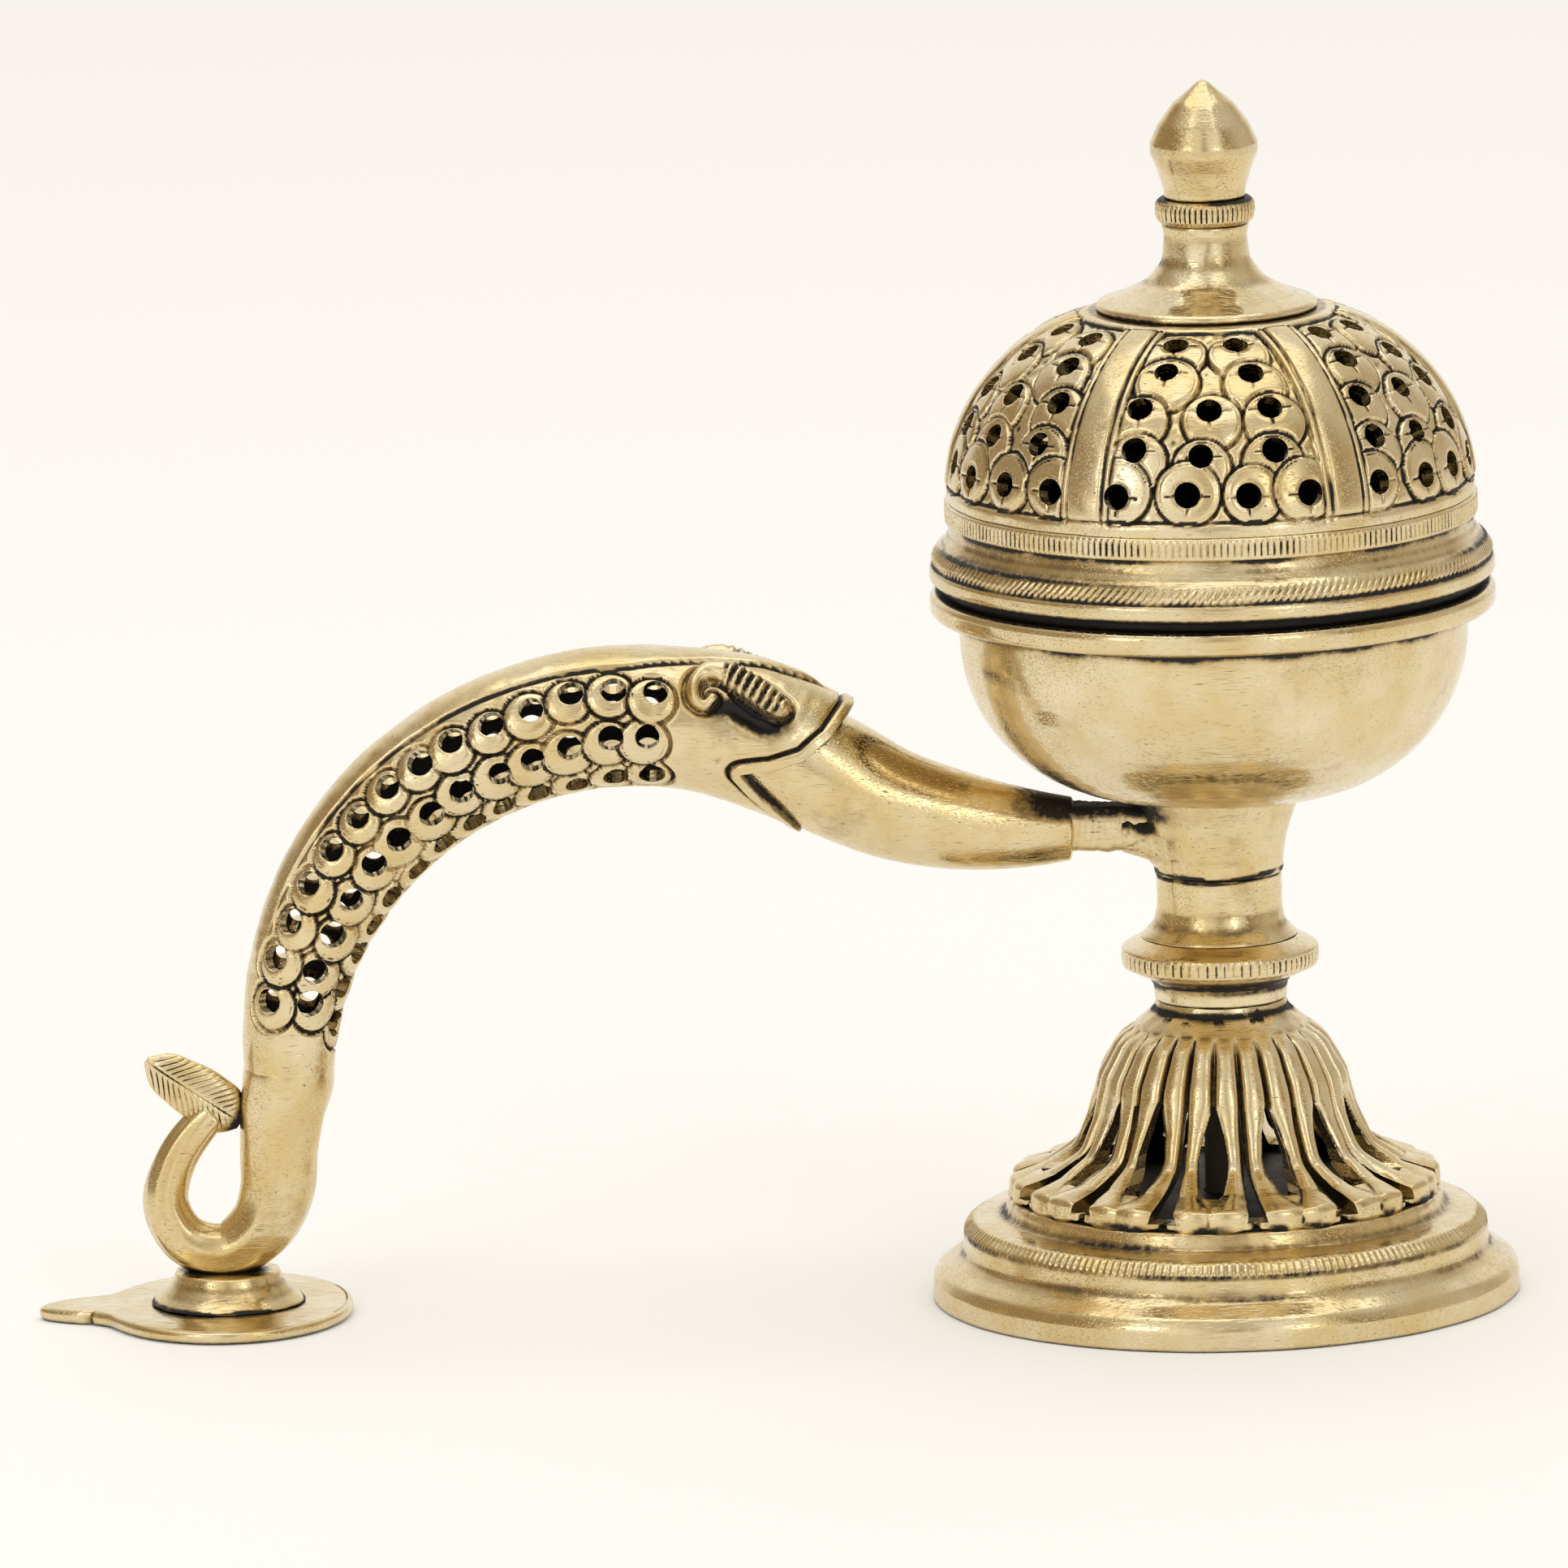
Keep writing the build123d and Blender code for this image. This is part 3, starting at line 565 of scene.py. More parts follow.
def make_bell():
    rings = lathe(bell_path(), 760, STAND_X, bell_relief)
    height = rings[..., 2]
    r = np.hypot(rings[..., 0] - STAND_X, rings[..., 1])
    patina_and_shade = tarnish(rings, reach=12, depth=0.11, closed=True, seed=24)
    # The inner face is black all over: painted shade inside the bell, seen through its windows.
    patina_and_shade += 1 - outer_side(r + 0.25, height)
    under_collar = plateau(44.2 - height, 0.2) * plateau(height - 46.2, 0.2)
    patina_and_shade += 0.9 * under_collar * (lumps(rings, 25, 1.1) > 1.15)
    patina_and_shade += 0.8 * plateau(height - 16.9, 0.2) * unit(0.3 + lumps(rings, 26, 0.5))
    piece = skin("lotus_bell_fluted", rings, True, unit(patina_and_shade))

    # The windows and the gaps between petals, each a little uneven
    outlines = []
    heights_window = np.array([19.5, 20.0, 21.0, 23.0, 25.0, 27.0, 29.0, 31.0, 32.4, 33.0])
    heights_gap = np.array([17.0, 18.0, 19.2, 20.4, 21.6, 23.5, 26.0, 29.0, 31.6])
    for petal in range(BELL_PETALS):
        for heights, half, shift, far in (
            (heights_window, window_half, 0.0, 28.4),
            (heights_gap, gap_half, 0.5, 40.0),
        ):
            heading = BELL_TURN + (petal + shift) * TURN / BELL_PETALS
            heading += random.normal(0, 0.008)
            lean = random.normal(0, 0.05)
            grow = random.uniform(0.80, 1.20)
            widths = half(heights) * grow + 0.10
            side = np.concatenate([widths, -widths[::-1]])
            z = np.concatenate([heights, heights[::-1]]) + random.normal(0, 0.25)
            side = side + lean * (z - 24)
            forward = np.array([math.cos(heading), math.sin(heading), 0])
            across = np.array([-math.sin(heading), math.cos(heading), 0])
            flat = STAND + side[:, None] * across + z[:, None] * np.array([0, 0, 1.0])
            outlines.append((flat + forward * 9.0, flat + forward * far))
    bored(piece, prisms(outlines))
    finish_piece(piece, CAST, "cast_brass", "lotus_bell")


def collar_relief(r, z, turn):
    """Milled teeth round the stem collar's disc."""
    band = plateau(51.9 - z, 0.12) * plateau(z - 54.2, 0.12) * plateau(14.7 - r, 0.12)
    return -0.32 * teeth(turn, 72, 11, 0.20) * band + 0.05 * wander(turn, 12)


def joint_stain(height, thick, seed):
    """A stain that follows an uneven joint line round the stem."""

    def darkening(r, z, turn):
        line = height + 0.35 * wander(turn, seed)
        uneven = np.clip(0.75 + 0.5 * wander(turn * 3.0, seed + 1), 0.15, 1)
        return plateau(np.abs(z - line) - thick * uneven, 0.06) * plateau(8.0 - r, 0.3)

    return darkening


def stem_relief(seed):
    """Dents and file marks of a hand-finished stem."""

    def relief(r, z, turn):
        points = round_axis(r, z, turn)
        return 0.05 * lumps(points, seed, 0.30) + 0.03 * lumps(points, seed + 1, 0.9) - 0.05

    return relief


def make_stem():
    low, high = span("stem_collar")
    corners = [
        (3.2, high[2], 0), (12.2, high[2], 0.4), (14.2, 55.1, 1.0), (15.1, 54.5, 0.4),
        (15.25, 53.0, 2.0), (15.0, 51.7, 0.4), (13.2, 50.8, 0.6), (11.0, 49.9, 1.0),
        (10.3, 48.6, 1.0), (10.15, low[2], 0.02), (3.2, low[2], 0),
    ]
    turned_piece(
        "stem_collar", corners, collar_relief, joint_stain(49.2, 0.32, 13), pitch=0.28, around=560,
        depth=0.12, seed=14,
    )
    low, high = span("stem_barrel")
    corners = [
        (3.2, high[2], 0), (9.7, high[2], 0.25), (9.75, 60.6, 2.0), (10.3, 58.3, 2.0),
        (12.4, low[2], 0.2), (3.2, low[2], 0),
    ]
    turned_piece("stem_barrel", corners, stem_relief(31), joint_stain(66.0, 0.30, 33), seed=32)
    low, high = span("stem_neck")
    corners = [
        (3.2, high[2], 0), (13.3, high[2], 0.3), (12.0, 75.9, 3.0), (10.9, 72.6, 4.0),
        (10.15, 69.0, 3.0), (9.95, low[2], 0.25), (3.2, low[2], 0),
    ]

    def neck_stain_and_shade(r, z, turn):
        """The joint line, and painted shade and painted reflection under the bowl beside the lug, with
        some black tarnish.
        """
        side = np.abs(turn - math.pi)
        # Darker near the bowl on the lug's side: painted shade and painted reflection of the bowl's
        # underside, with some tarnish.
        soot_and_shade = plateau(side - 0.75, 0.12) * plateau(74.6 - z + 0.8 * wander(turn, 36), 0.35)
        return joint_stain(66.6, 0.40, 35)(r, z, turn) + soot_and_shade * 0.95

    turned_piece("stem_neck", corners, stem_relief(34), neck_stain_and_shade, seed=37)


def bowl_relief(r, z, turn):
    """The shallow waves of a hand-finished bowl."""
    waves = 0.10 * np.sin(2 * turn + 0.11 * z + 0.7) + 0.05 * np.sin(5 * turn - 0.23 * z)
    return waves * plateau(z - 105.5, 0.5) * plateau(14 - r, 1.5) - 0.06


# The bowl's side is an arc of this radius round a ring of this reach and height.
BOWL_ARC = 25.2
BOWL_REACH = 14.0
BOWL_SPRING = 104.0


def bowl_skin(z):
    """The bowl's outer radius at a height."""
    drop = np.clip(BOWL_SPRING - z, 0, BOWL_ARC)
    return BOWL_REACH + np.sqrt(np.clip(BOWL_ARC**2 - drop**2, 0, None))


def bowl_stain_and_shade(r, z, turn):
    """Soot inside the bowl and in the groove under its rim, and painted shade in the gap under the lid."""
    off_skin = 1 - plateau(np.abs(r - bowl_skin(z)) - 1.0, 0.2)
    inside = plateau(r - 38.8, 0.1) * plateau(82.0 - z, 0.3) * off_skin
    uneven = np.clip(0.75 + 0.6 * wander(turn, 95), 0.1, 1)
    under = groove(z - 106.9, 0.45) * plateau(38.6 - r, 0.2) * uneven
    # Painted shade on the rim's top, in the gap under the lid.
    gap = plateau(r - 42.5, 0.15) * plateau(110.6 - z, 0.15)
    return inside + 0.9 * under + gap


def arc(centre, radius, start, end, count):
    """Corners along an arc, from a start to an end angle in degrees."""
    turns = np.radians(np.linspace(start, end, count))
    r, z = centre
    return [(r + radius * math.cos(t), z + radius * math.sin(t), 0.5) for t in turns]


def make_bowl():
    top, foot = BOWL_HIGH[2], BOWL_LOW[2]
    edge = (BOWL_HIGH[0] - BOWL_LOW[0]) / 2
    inner_arc = BOWL_ARC - 2.2
    corners = [(3.2, foot, 0), (BOWL_REACH - 0.6, foot, 0.3)]
    corners += arc((BOWL_REACH, BOWL_SPRING), BOWL_ARC, -88, 0, 16)
    corners += [
        (39.2, 106.4, 0.8), (40.0, 107.2, 0.4), (42.9, 107.3, 0.6), (edge, 108.1, 0.7),
        (edge, 110.3, 0.7), (42.8, 111.0, 0.5), (40.7, 111.0, 0.2), (40.6, top, 0.3),
        (38.4, top, 0.3), (38.4, 107.0, 0.5),
    ]
    corners += arc((BOWL_REACH, BOWL_SPRING), inner_arc, 0, -88, 12)
    corners += [(3.2, BOWL_SPRING - inner_arc, 0)]
    turned_piece("bowl", corners, bowl_relief, bowl_stain_and_shade, pitch=0.5, around=320, seed=96)


# ---------------------------------------------------------------- lid


def rim_relief(r, z, turn):
    """The milled bead under the dome and the slanting rope moulding above the flange."""
    bead = plateau(122.2 - z, 0.10) * plateau(z - 124.6, 0.10) * plateau(40.0 - r, 0.1)
    rope = plateau(np.abs(z - 116.6) - 1.0, 0.15) * plateau(41.4 - r, 0.15)
    slant = teeth(turn - 0.020 * (z - 116.5), 222, 41, 0.34)
    soft = 0.05 * wander(turn, 43)
    return soft * plateau(39 - r, 0.5) - 0.50 * teeth(turn, 250, 42, 0.26) * bead - 0.50 * slant * rope


def rim_stain_and_shade(r, z, turn):
    """Broken black lines above and below the rope moulding, and painted shade on the rim's inner face and
    on its seat on the bowl.
    """
    above = groove(z - 118.0, 0.35) * unit(0.3 + 0.8 * wander(turn, 44))
    below = groove(z - 115.3, 0.28) * unit(0.6 + 0.8 * wander(turn, 45))
    # Painted shade on the seat and, in the line below, on the rim's inner face.
    seat = plateau(z - 112.9, 0.12)
    return (above + below) * plateau(40.2 - r, 0.2) + plateau(r - 38.6, 0.15) + seat


def make_lid_rim():
    top = RIM_HIGH[2]
    edge = (RIM_HIGH[0] - RIM_LOW[0]) / 2
    corners = [
        (38.2, top, 0), (38.2, 115.0, 0.3), (35.8, 114.0, 0.3), (35.8, RIM_LOW[2], 0.3),
        (37.8, RIM_LOW[2], 0.3), (37.8, 112.6, 0.2), (43.1, 112.6, 0.4), (edge, 113.3, 0.5),
        (edge - 0.1, 114.9, 0.3), (42.9, 115.3, 0.3), (43.2, 116.4, 0.8), (42.3, 117.8, 0.6),
        (41.3, 118.6, 1.0), (40.5, 119.9, 1.5), (40.2, 121.6, 0.2), (40.95, 121.9, 0.35),
        (40.95, 124.8, 0.35), (40.5, top, 0.1),
    ]
    turned_piece(
        "lid_rim", corners, rim_relief, rim_stain_and_shade, pitch=0.32, around=1300, body="lid", depth=0.26,
        seed=46,
    )


DOME_ARC = 29.75
DOME_REACH = 40.6 - DOME_ARC
DOME_SPRING = DOME_LOW[2]
DOME_WALL = 2.2
# Each row of holes from the lowest up: their turns from the middle of a panel, in degrees.
LID_HOLE_ROWS = [(-21, -7, 7, 21), (-19, -3, 14), (-19, -2, 15), (-14, 12), (-13, 9)]
LID_ROW_START = 12.2
LID_ROW_STEP = 13.3
LID_PANELS = 6


def dome_point(climb, heading, lift=0.0):
    """A point on the dome, by its climb and heading in radians, with its outward direction."""
    out = round_axis(np.cos(climb), np.sin(climb), heading)
    reach = DOME_REACH + DOME_ARC * np.cos(climb)
    z = DOME_SPRING + DOME_ARC * np.sin(climb)
    return STAND + round_axis(reach, z, heading) + out * lift, out


def dome_holes():
    """Every hole of the lid, from the top row down, so that lower scales lie over upper ones."""
    holes = []
    for row in reversed(range(len(LID_HOLE_ROWS))):
        for panel in range(LID_PANELS):
            for turn in LID_HOLE_ROWS[row]:
                climb = math.radians(LID_ROW_START + row * LID_ROW_STEP + random.normal(0, 0.7))
                heading = math.radians(270 + panel * 60 + turn + random.normal(0, 0.7))
                holes.append((climb, heading, random.uniform(4.5, 5.2)))
    return holes


def make_dome():
    holes = dome_holes()
    top = DOME_HIGH[2]
    climb_top = math.asin((top - DOME_SPRING) / DOME_ARC)
    outer = np.linspace(0, climb_top, 140)
    around = 1000
    heading = np.arange(around) * TURN / around
    climb_grid, heading_grid = np.meshgrid(outer, heading, indexing="ij")
    surface, _ = dome_point(climb_grid, heading_grid)
    reach = DOME_REACH + DOME_ARC * np.cos(climb_grid)
    panel = TURN / LID_PANELS

    # Each scale hangs below its hole, and lies over the bottom of the scale above it
    height = -0.60 + 0.10 * lumps(surface, 52, 1.4)
    for climb, turn, size in holes:
        drop = (0.45 * size + random.normal(0, 0.2)) / DOME_ARC
        lowest = math.radians(5.5) + size / DOME_ARC
        middle = max(climb - drop, lowest - 0.2 * size / DOME_ARC)
        centre, _ = dome_point(np.array(middle), np.array(turn + random.normal(0, 0.010)))
        mark, _ = dome_point(np.array(climb), np.array(turn))
        turn_away = (heading_grid - turn + math.pi) % TURN - math.pi
        near = (np.abs(turn_away) * reach < 8) & (np.abs(climb_grid - climb) * DOME_ARC < 10)
        away = np.linalg.norm(surface[near] - centre, axis=-1)
        from_hole = np.linalg.norm(surface[near] - mark, axis=-1)
        level = height[near]
        inside = plateau(away - size, 0.06)
        level = level * (1 - inside) + inside * (0.20 - 0.22 * (away / size) ** 2)
        level = level - 0.55 * groove(away - size - 0.14, 0.27)
        level = level - 0.20 * groove(away - size + 0.55, 0.15) * inside
        level = level - 0.14 * plateau(from_hole - 2.30, 0.08)
        sideways, upwards = turn_away[near] * reach[near], (climb_grid[near] - climb) * DOME_ARC
        tick = groove(upwards + 0.06 * np.abs(sideways), 0.17) * plateau(np.abs(sideways) - 3.5, 0.12)
        notch = groove(sideways, 0.20) * plateau(-upwards - 3.1, 0.12) * plateau(upwards, 0.2)
        height[near] = level - 0.24 * (tick + notch) * inside

    # Six ribs with a plain frame beside each, and plain bands at the dome's foot and top
    from_rib = np.abs((heading_grid - math.radians(210)) % panel - panel / 2) * reach
    rib = 1.45 + 1.15 * unit(reach / 40) + 0.15 * wander(heading_grid, 51)
    frame_band = plateau(from_rib - rib - 1.35, 0.10)
    height = height * (1 - frame_band) + frame_band * 0.02
    on_rib = plateau(from_rib - rib, 0.12)
    height = height * (1 - on_rib) + on_rib * (0.28 + 0.10 * np.cos(from_rib / rib * 1.5))
    height -= 0.42 * groove(from_rib - rib - 0.25, 0.20) + 0.40 * groove(from_rib - rib - 1.45, 0.20)
    low_band = plateau(climb_grid - math.radians(4.0), 0.008)
    high_band = plateau(math.radians(72.5) - climb_grid, 0.008)
    plain = np.maximum(low_band, high_band)
    height = height * (1 - plain) + plain * -0.05
    height -= 0.35 * groove((climb_grid - math.radians(4.4)) * DOME_ARC, 0.25)
    height -= 0.30 * groove((climb_grid - math.radians(72.3)) * DOME_ARC, 0.22)
    height += 0.05 * lumps(surface, 54, 0.6)

    skin_rings, _ = dome_point(climb_grid, heading_grid, height[..., None])
    # The flat top, the bore for the finial's stud and the inner face close the shell
    flat_outer = DOME_REACH + DOME_ARC * math.cos(climb_top)
    inner_arc = DOME_ARC - DOME_WALL
    inner_top = top - DOME_WALL
    inner_climb = math.asin((inner_top - DOME_SPRING) / inner_arc)
    flat = [(r, top) for r in np.linspace(flat_outer - 0.6, 2.1, 8)]
    rest = flat + [(2.1, inner_top)] + [(r, inner_top) for r in np.linspace(4.0, 16.0, 4)]
    for climb in np.linspace(inner_climb, 0, 18):
        rest.append((DOME_REACH + inner_arc * math.cos(climb), DOME_SPRING + inner_arc * math.sin(climb)))
    rings = np.concatenate([skin_rings, lathe(np.array(rest), around, STAND_X, closed=False)])
    # The inner face stays fully black: painted shade inside the lid, seen through its holes.
    shade = np.ones(rings.shape[:2])
    shade[: len(outer)] = tarnish(skin_rings, reach=12, depth=0.088, seed=53)
    shade[len(outer) : len(outer) + len(flat)] = 0.3
    piece = skin("lid_dome_pierced", rings, True, shade, "lid")
    cutters = []
    for climb, turn, size in holes:
        centre, out = dome_point(np.array(climb), np.array(turn))
        cutters.append(drill(centre, out, 1.98 + random.normal(0, 0.06), 2.0, DOME_WALL + 2.5))
    bored(piece, prisms(cutters))
    finish_piece(piece, CAST, "cast_brass", "lid_dome")


def finial_relief(r, z, turn):
    """Milled teeth round the finial's collar."""
    band = plateau(167.9 - z, 0.12) * plateau(z - 170.5, 0.12) * plateau(7.0 - r, 0.1)
    return -0.34 * teeth(turn, 52, 61, 0.30) * band


def collar_stain(r, z, turn):
    """Black left above and below the finial collar's milled band."""
    uneven = np.clip(0.6 + 0.8 * wander(turn, 70), 0.1, 1)
    return uneven * (plateau(170.75 - z, 0.1) + plateau(z - 167.3, 0.1))


def bud_relief(r, z, turn):
    """The soft facets of a hand-filed bud."""
    return (0.10 * wander(turn, 65) - 0.06) * plateau(2.0 - r, 0.3)


def make_finial():
    low, high = span("lid_neck")
    corners = [
        (2.1, high[2], 0), (6.8, high[2], 0.3), (6.45, 165.2, 2.0), (6.9, 161.4, 3.0),
        (9.3, 158.4, 3.0), (13.6, 156.3, 2.0), (16.7, 155.2, 0.8), (17.1, 154.5, 0.4),
        (16.7, low[2], 0.3), (2.1, low[2], 0),
    ]
    turned_piece("lid_neck", corners, stem_relief(63), joint_stain(154.0, 0.22, 64), body="lid", seed=66)
    low, high = span("finial_collar")
    corners = [
        (2.1, high[2], 0), (6.9, high[2], 0.3), (7.6, 170.5, 0.4), (7.7, 169.3, 0.4),
        (7.5, 168.0, 0.4), (6.9, low[2], 0.3), (2.1, low[2], 0),
    ]
    turned_piece(
        "finial_collar", corners, finial_relief, collar_stain, pitch=0.2, around=364, body="lid",
        depth=0.08, seed=67,
    )
    low, high = span("finial_bud")
    corners = [
        (0.02, low[2], 0), (6.25, low[2], 0.3), (6.3, 172.4, 0.8), (7.3, 175.6, 3.0),
        (8.35, 178.2, 0.9), (8.3, 179.7, 0.9), (7.0, 182.6, 4.0), (4.6, 185.9, 4.0),
        (2.0, 188.0, 1.6), (0.9, 188.9, 0.7), (0.02, high[2], 0.3),
    ]
    turned_piece(
        "finial_bud", corners, bud_relief, joint_stain(171.5, 0.55, 68), closed=False, pitch=0.3,
        body="lid", seed=69,
    )


# ---------------------------------------------------------------- handle

ARCH_RADIUS = 53.8
ARCH_X = STAND_X - 90.0
ARCH_Z = 38.6
TUBE_WALL = 2.0


def sweep(stations, count):
    """Smooth centres, slopes and radii through stations of (x from the stand, z, radius)."""
    stations = np.array(stations, float)
    steps = np.append(0, np.cumsum(np.linalg.norm(np.diff(stations[:, :2], axis=0), axis=1)))
    places = np.linspace(0, steps[-1], count)
    columns = [smooth_through(steps, stations[:, k], places) for k in range(stations.shape[1])]
    centre = np.stack([columns[0] + STAND_X, np.zeros(count), columns[1]], axis=1)
    ahead = np.gradient(centre, axis=0)
    ahead /= np.linalg.norm(ahead, axis=1)[:, None]
    out = np.stack([-ahead[:, 2], np.zeros(count), ahead[:, 0]], axis=1)
    return centre, out, np.stack(columns[2:], axis=1), places


def smooth_through(places, values, wanted):
    """A cubic Hermite curve through values, with slopes from its neighbours."""
    slopes = np.gradient(values, places)
    index = np.clip(np.searchsorted(places, wanted) - 1, 0, len(places) - 2)
    width = places[index + 1] - places[index]
    t = (wanted - places[index]) / width
    a, b = values[index], values[index + 1]
    da, db = slopes[index] * width, slopes[index + 1] * width
    ease = 3 * t**2 - 2 * t**3
    return (1 - ease) * a + (t**3 - 2 * t**2 + t) * da + ease * b + (t**3 - t**2) * db


def tube_rings(centre, out, across, up, turn):
    """Rings of half-width across and half-height up round a path in the upright plane. Turn 0 faces
    the camera's side, and a quarter turn faces the path's outer side."""
    side = np.array([0, -1.0, 0])
    return (
        centre[:, None, :]
        + (across * np.cos(turn))[..., None] * side
        + (up * np.sin(turn))[..., None] * out[:, None, :]
    )


def arch(turn):
    """The handle arch's centre and outward direction, at a turn in radians from its tail end."""
    out = np.stack([-np.cos(turn), np.zeros_like(turn), np.sin(turn)], axis=-1)
    centre = np.array([ARCH_X, 0, ARCH_Z]) + ARCH_RADIUS * out
    return centre, out


def tube_radius(turn):
    """The handle's outer radius at a turn along its arch."""
    return 7.0 + 3.7 * np.sin(turn)


# Past the arch the handle runs on into the head: (x from the stand, z, radius) down to its lips.
HEAD_STATIONS = [(-77.6, 91.1, 10.9), (-72.5, 89.8, 11.1), (-64.0, 86.2, 11.0), (-54.0, 80.9, 10.4)]
MOUTH = -64.0


def handle_stations():
    """The centre line's stations from the shank, along the arch and into the head."""
    stations = []
    for turn in np.radians(np.arange(0, 99, 7)):
        centre, _ = arch(np.array([turn]))
        stations.append((centre[0, 0] - STAND_X, centre[0, 2], tube_radius(turn)))
    return stations + HEAD_STATIONS


# Each row of holes on one side: how many, the first and last turn along the arch, and the first and
# last lean from the side towards the outer edge, in degrees.
TUBE_ROWS = [(13, 9.0, 93.5, -66.0, -47.0), (13, 12.8, 93.5, -18.0, -6.0), (14, 12.5, 94.0, 32.0, 32.0)]


def tube_holes():
    """Every hole of the handle: inner rows first and each row from the tail, so that later scales
    lie on top."""
    holes = []
    for row, (count, first, last, lean_first, lean_last) in enumerate(TUBE_ROWS):
        for share in np.linspace(0, 1, count):
            for side in (1, -1):
                turn = first + share * (last - first) + random.normal(0, 0.35)
                lean = lean_first + share * (lean_last - lean_first) + random.normal(0, 2.5)
                size = random.uniform(3.5, 3.95) + 0.3 * (row == 1)
                around = math.radians(lean if side > 0 else 180 - lean)
                inward = math.radians(random.uniform(3.0, 7.5)) * side
                holes.append((math.radians(turn), around, size, inward))
    return holes


def tube_point(turn, around):
    """A point on the tube and the direction straight out of it."""
    centre, out = arch(np.array([turn]))
    direction = np.cos(around) * np.array([0, -1.0, 0]) + np.sin(around) * out[0]
    return centre[0] + direction * tube_radius(turn), direction


def scale_relief(surface, holes):
    """Overlapping scales, each with a hole above its middle, as a push outwards for each point."""
    level = np.zeros(len(surface))
    rough = 0.12 * lumps(surface, 72, 1.5)
    scales = []
    for turn, around, size, inward in holes:
        middle, _ = tube_point(turn - math.radians(0.6), around - inward)
        mark, _ = tube_point(turn, around)
        near = np.linalg.norm(surface - middle, axis=1) < size + 1.5
        scales.append((near, middle, mark, size))
        away = np.linalg.norm(surface[near] - middle, axis=1)
        level[near] = np.minimum(level[near], (-0.42 + rough[near]) * plateau(away - size - 0.45, 0.08))
    for near, middle, mark, size in scales:
        away = np.linalg.norm(surface[near] - middle, axis=1)
        inside = plateau(away - size, 0.06)
        height = level[near] * (1 - inside) + inside * (0.14 - 0.16 * (away / size) ** 2)
        height -= 0.60 * groove(away - size - 0.14, 0.30)
        height -= 0.20 * groove(away - size + 0.60, 0.15) * inside
        from_hole = np.linalg.norm(surface[near] - mark, axis=1)
        level[near] = height - 0.12 * plateau(from_hole - 2.15, 0.08)
    return level


def polyline_distance(points, line):
    """Each point's distance to a dense line of points, and how far along it the nearest one is."""
    best = np.full(len(points), 1e9)
    where = np.zeros(len(points))
    for i, mark in enumerate(line):
        away = np.linalg.norm(points - mark, axis=1)
        closer = away < best
        best[closer] = away[closer]
        where[closer] = i / (len(line) - 1)
    return best, where


# Where the jaws end: the turn away from the crown, in degrees, and how far past the mouth's middle.
JAW_TURNS = [0, 17, 58, 85, 104, 116, 125, 140, 153, 164, 180]
JAW_REACH = [3.6, 3.8, 2.6, 0.4, -3.8, -8.4, -5.6, -0.4, 3.4, 5.2, 5.8]
# The brow's ridge from its curled end, and the eye socket's hollow: (x from the stand, z).
BROW = [
    (-77.2, 96.5), (-78.4, 95.6), (-79.8, 96.5), (-80.0, 98.4), (-78.2, 99.9), (-75.4, 99.6),
    (-72.4, 98.3), (-69.5, 96.6), (-67.0, 94.8),
]
SOCKET = [(-76.6, 94.8), (-74.4, 95.2), (-71.8, 93.9), (-69.2, 92.6), (-66.2, 92.4)]


def lay_on(skin_points, line):
    """A line of (x from the stand, z) laid on the near side of the head, as close-set points."""
    laid = []
    for x, z in line:
        gap = np.hypot(skin_points[:, 0] - (STAND_X + x), skin_points[:, 2] - z)
        laid.append(skin_points[np.argmin(gap + np.where(skin_points[:, 1] > 0.5, 1e3, 0))])
    laid = np.array(laid)
    steps = np.append(0, np.cumsum(np.linalg.norm(np.diff(laid, axis=0), axis=1)))
    wanted = np.linspace(0, steps[-1], 110)
    return np.stack([smooth_through(steps, laid[:, k], wanted) for k in range(3)], axis=1)


def face_relief(surface, lips):
    """Lips, ribbed curling brows and dark eye sockets, the same on both sides of the head: a push
    outwards and a share of patina for each point."""
    near_side = surface.copy()
    near_side[:, 1] = -np.abs(near_side[:, 1])
    from_lips, _ = polyline_distance(surface, lips)
    level = 0.40 * plateau(from_lips - 1.6, 0.10) - 0.75 * groove(from_lips - 2.0, 0.28)

    brow, along = polyline_distance(near_side, lay_on(surface, BROW))
    half = np.interp(along, [0, 0.12, 0.3, 0.45, 0.55, 0.9, 1.0], [1.0, 0.95, 1.2, 1.7, 2.3, 2.35, 1.9])
    swell = np.sqrt(np.clip(1 - (brow / half) ** 2, 0, 1))
    tall = np.interp(along, [0, 0.3, 0.55, 0.8, 1.0], [1.5, 1.8, 2.7, 2.9, 2.2])
    valley = (0.5 - 0.5 * np.cos((along - 0.50) * TURN * 15.5)) ** 2 * unit((along - 0.52) / 0.04)
    level = level - 1.0 * groove(brow - half - 0.30, 0.42)
    level = level + tall * swell * (1 - 0.42 * valley)

    socket, share = polyline_distance(near_side, lay_on(surface, SOCKET))
    deep = np.sin(np.clip(share, 0.03, 0.97) * math.pi) ** 0.5
    level = level - 1.5 * groove(socket, 1.25) * deep * (1 - swell)
    dark = unit(groove(socket, 1.5) * deep * (1 - swell) * 1.6 + groove(from_lips - 2.0, 0.3))
    return level, np.maximum(dark, 0.9 * valley * swell * (brow > 0.4))


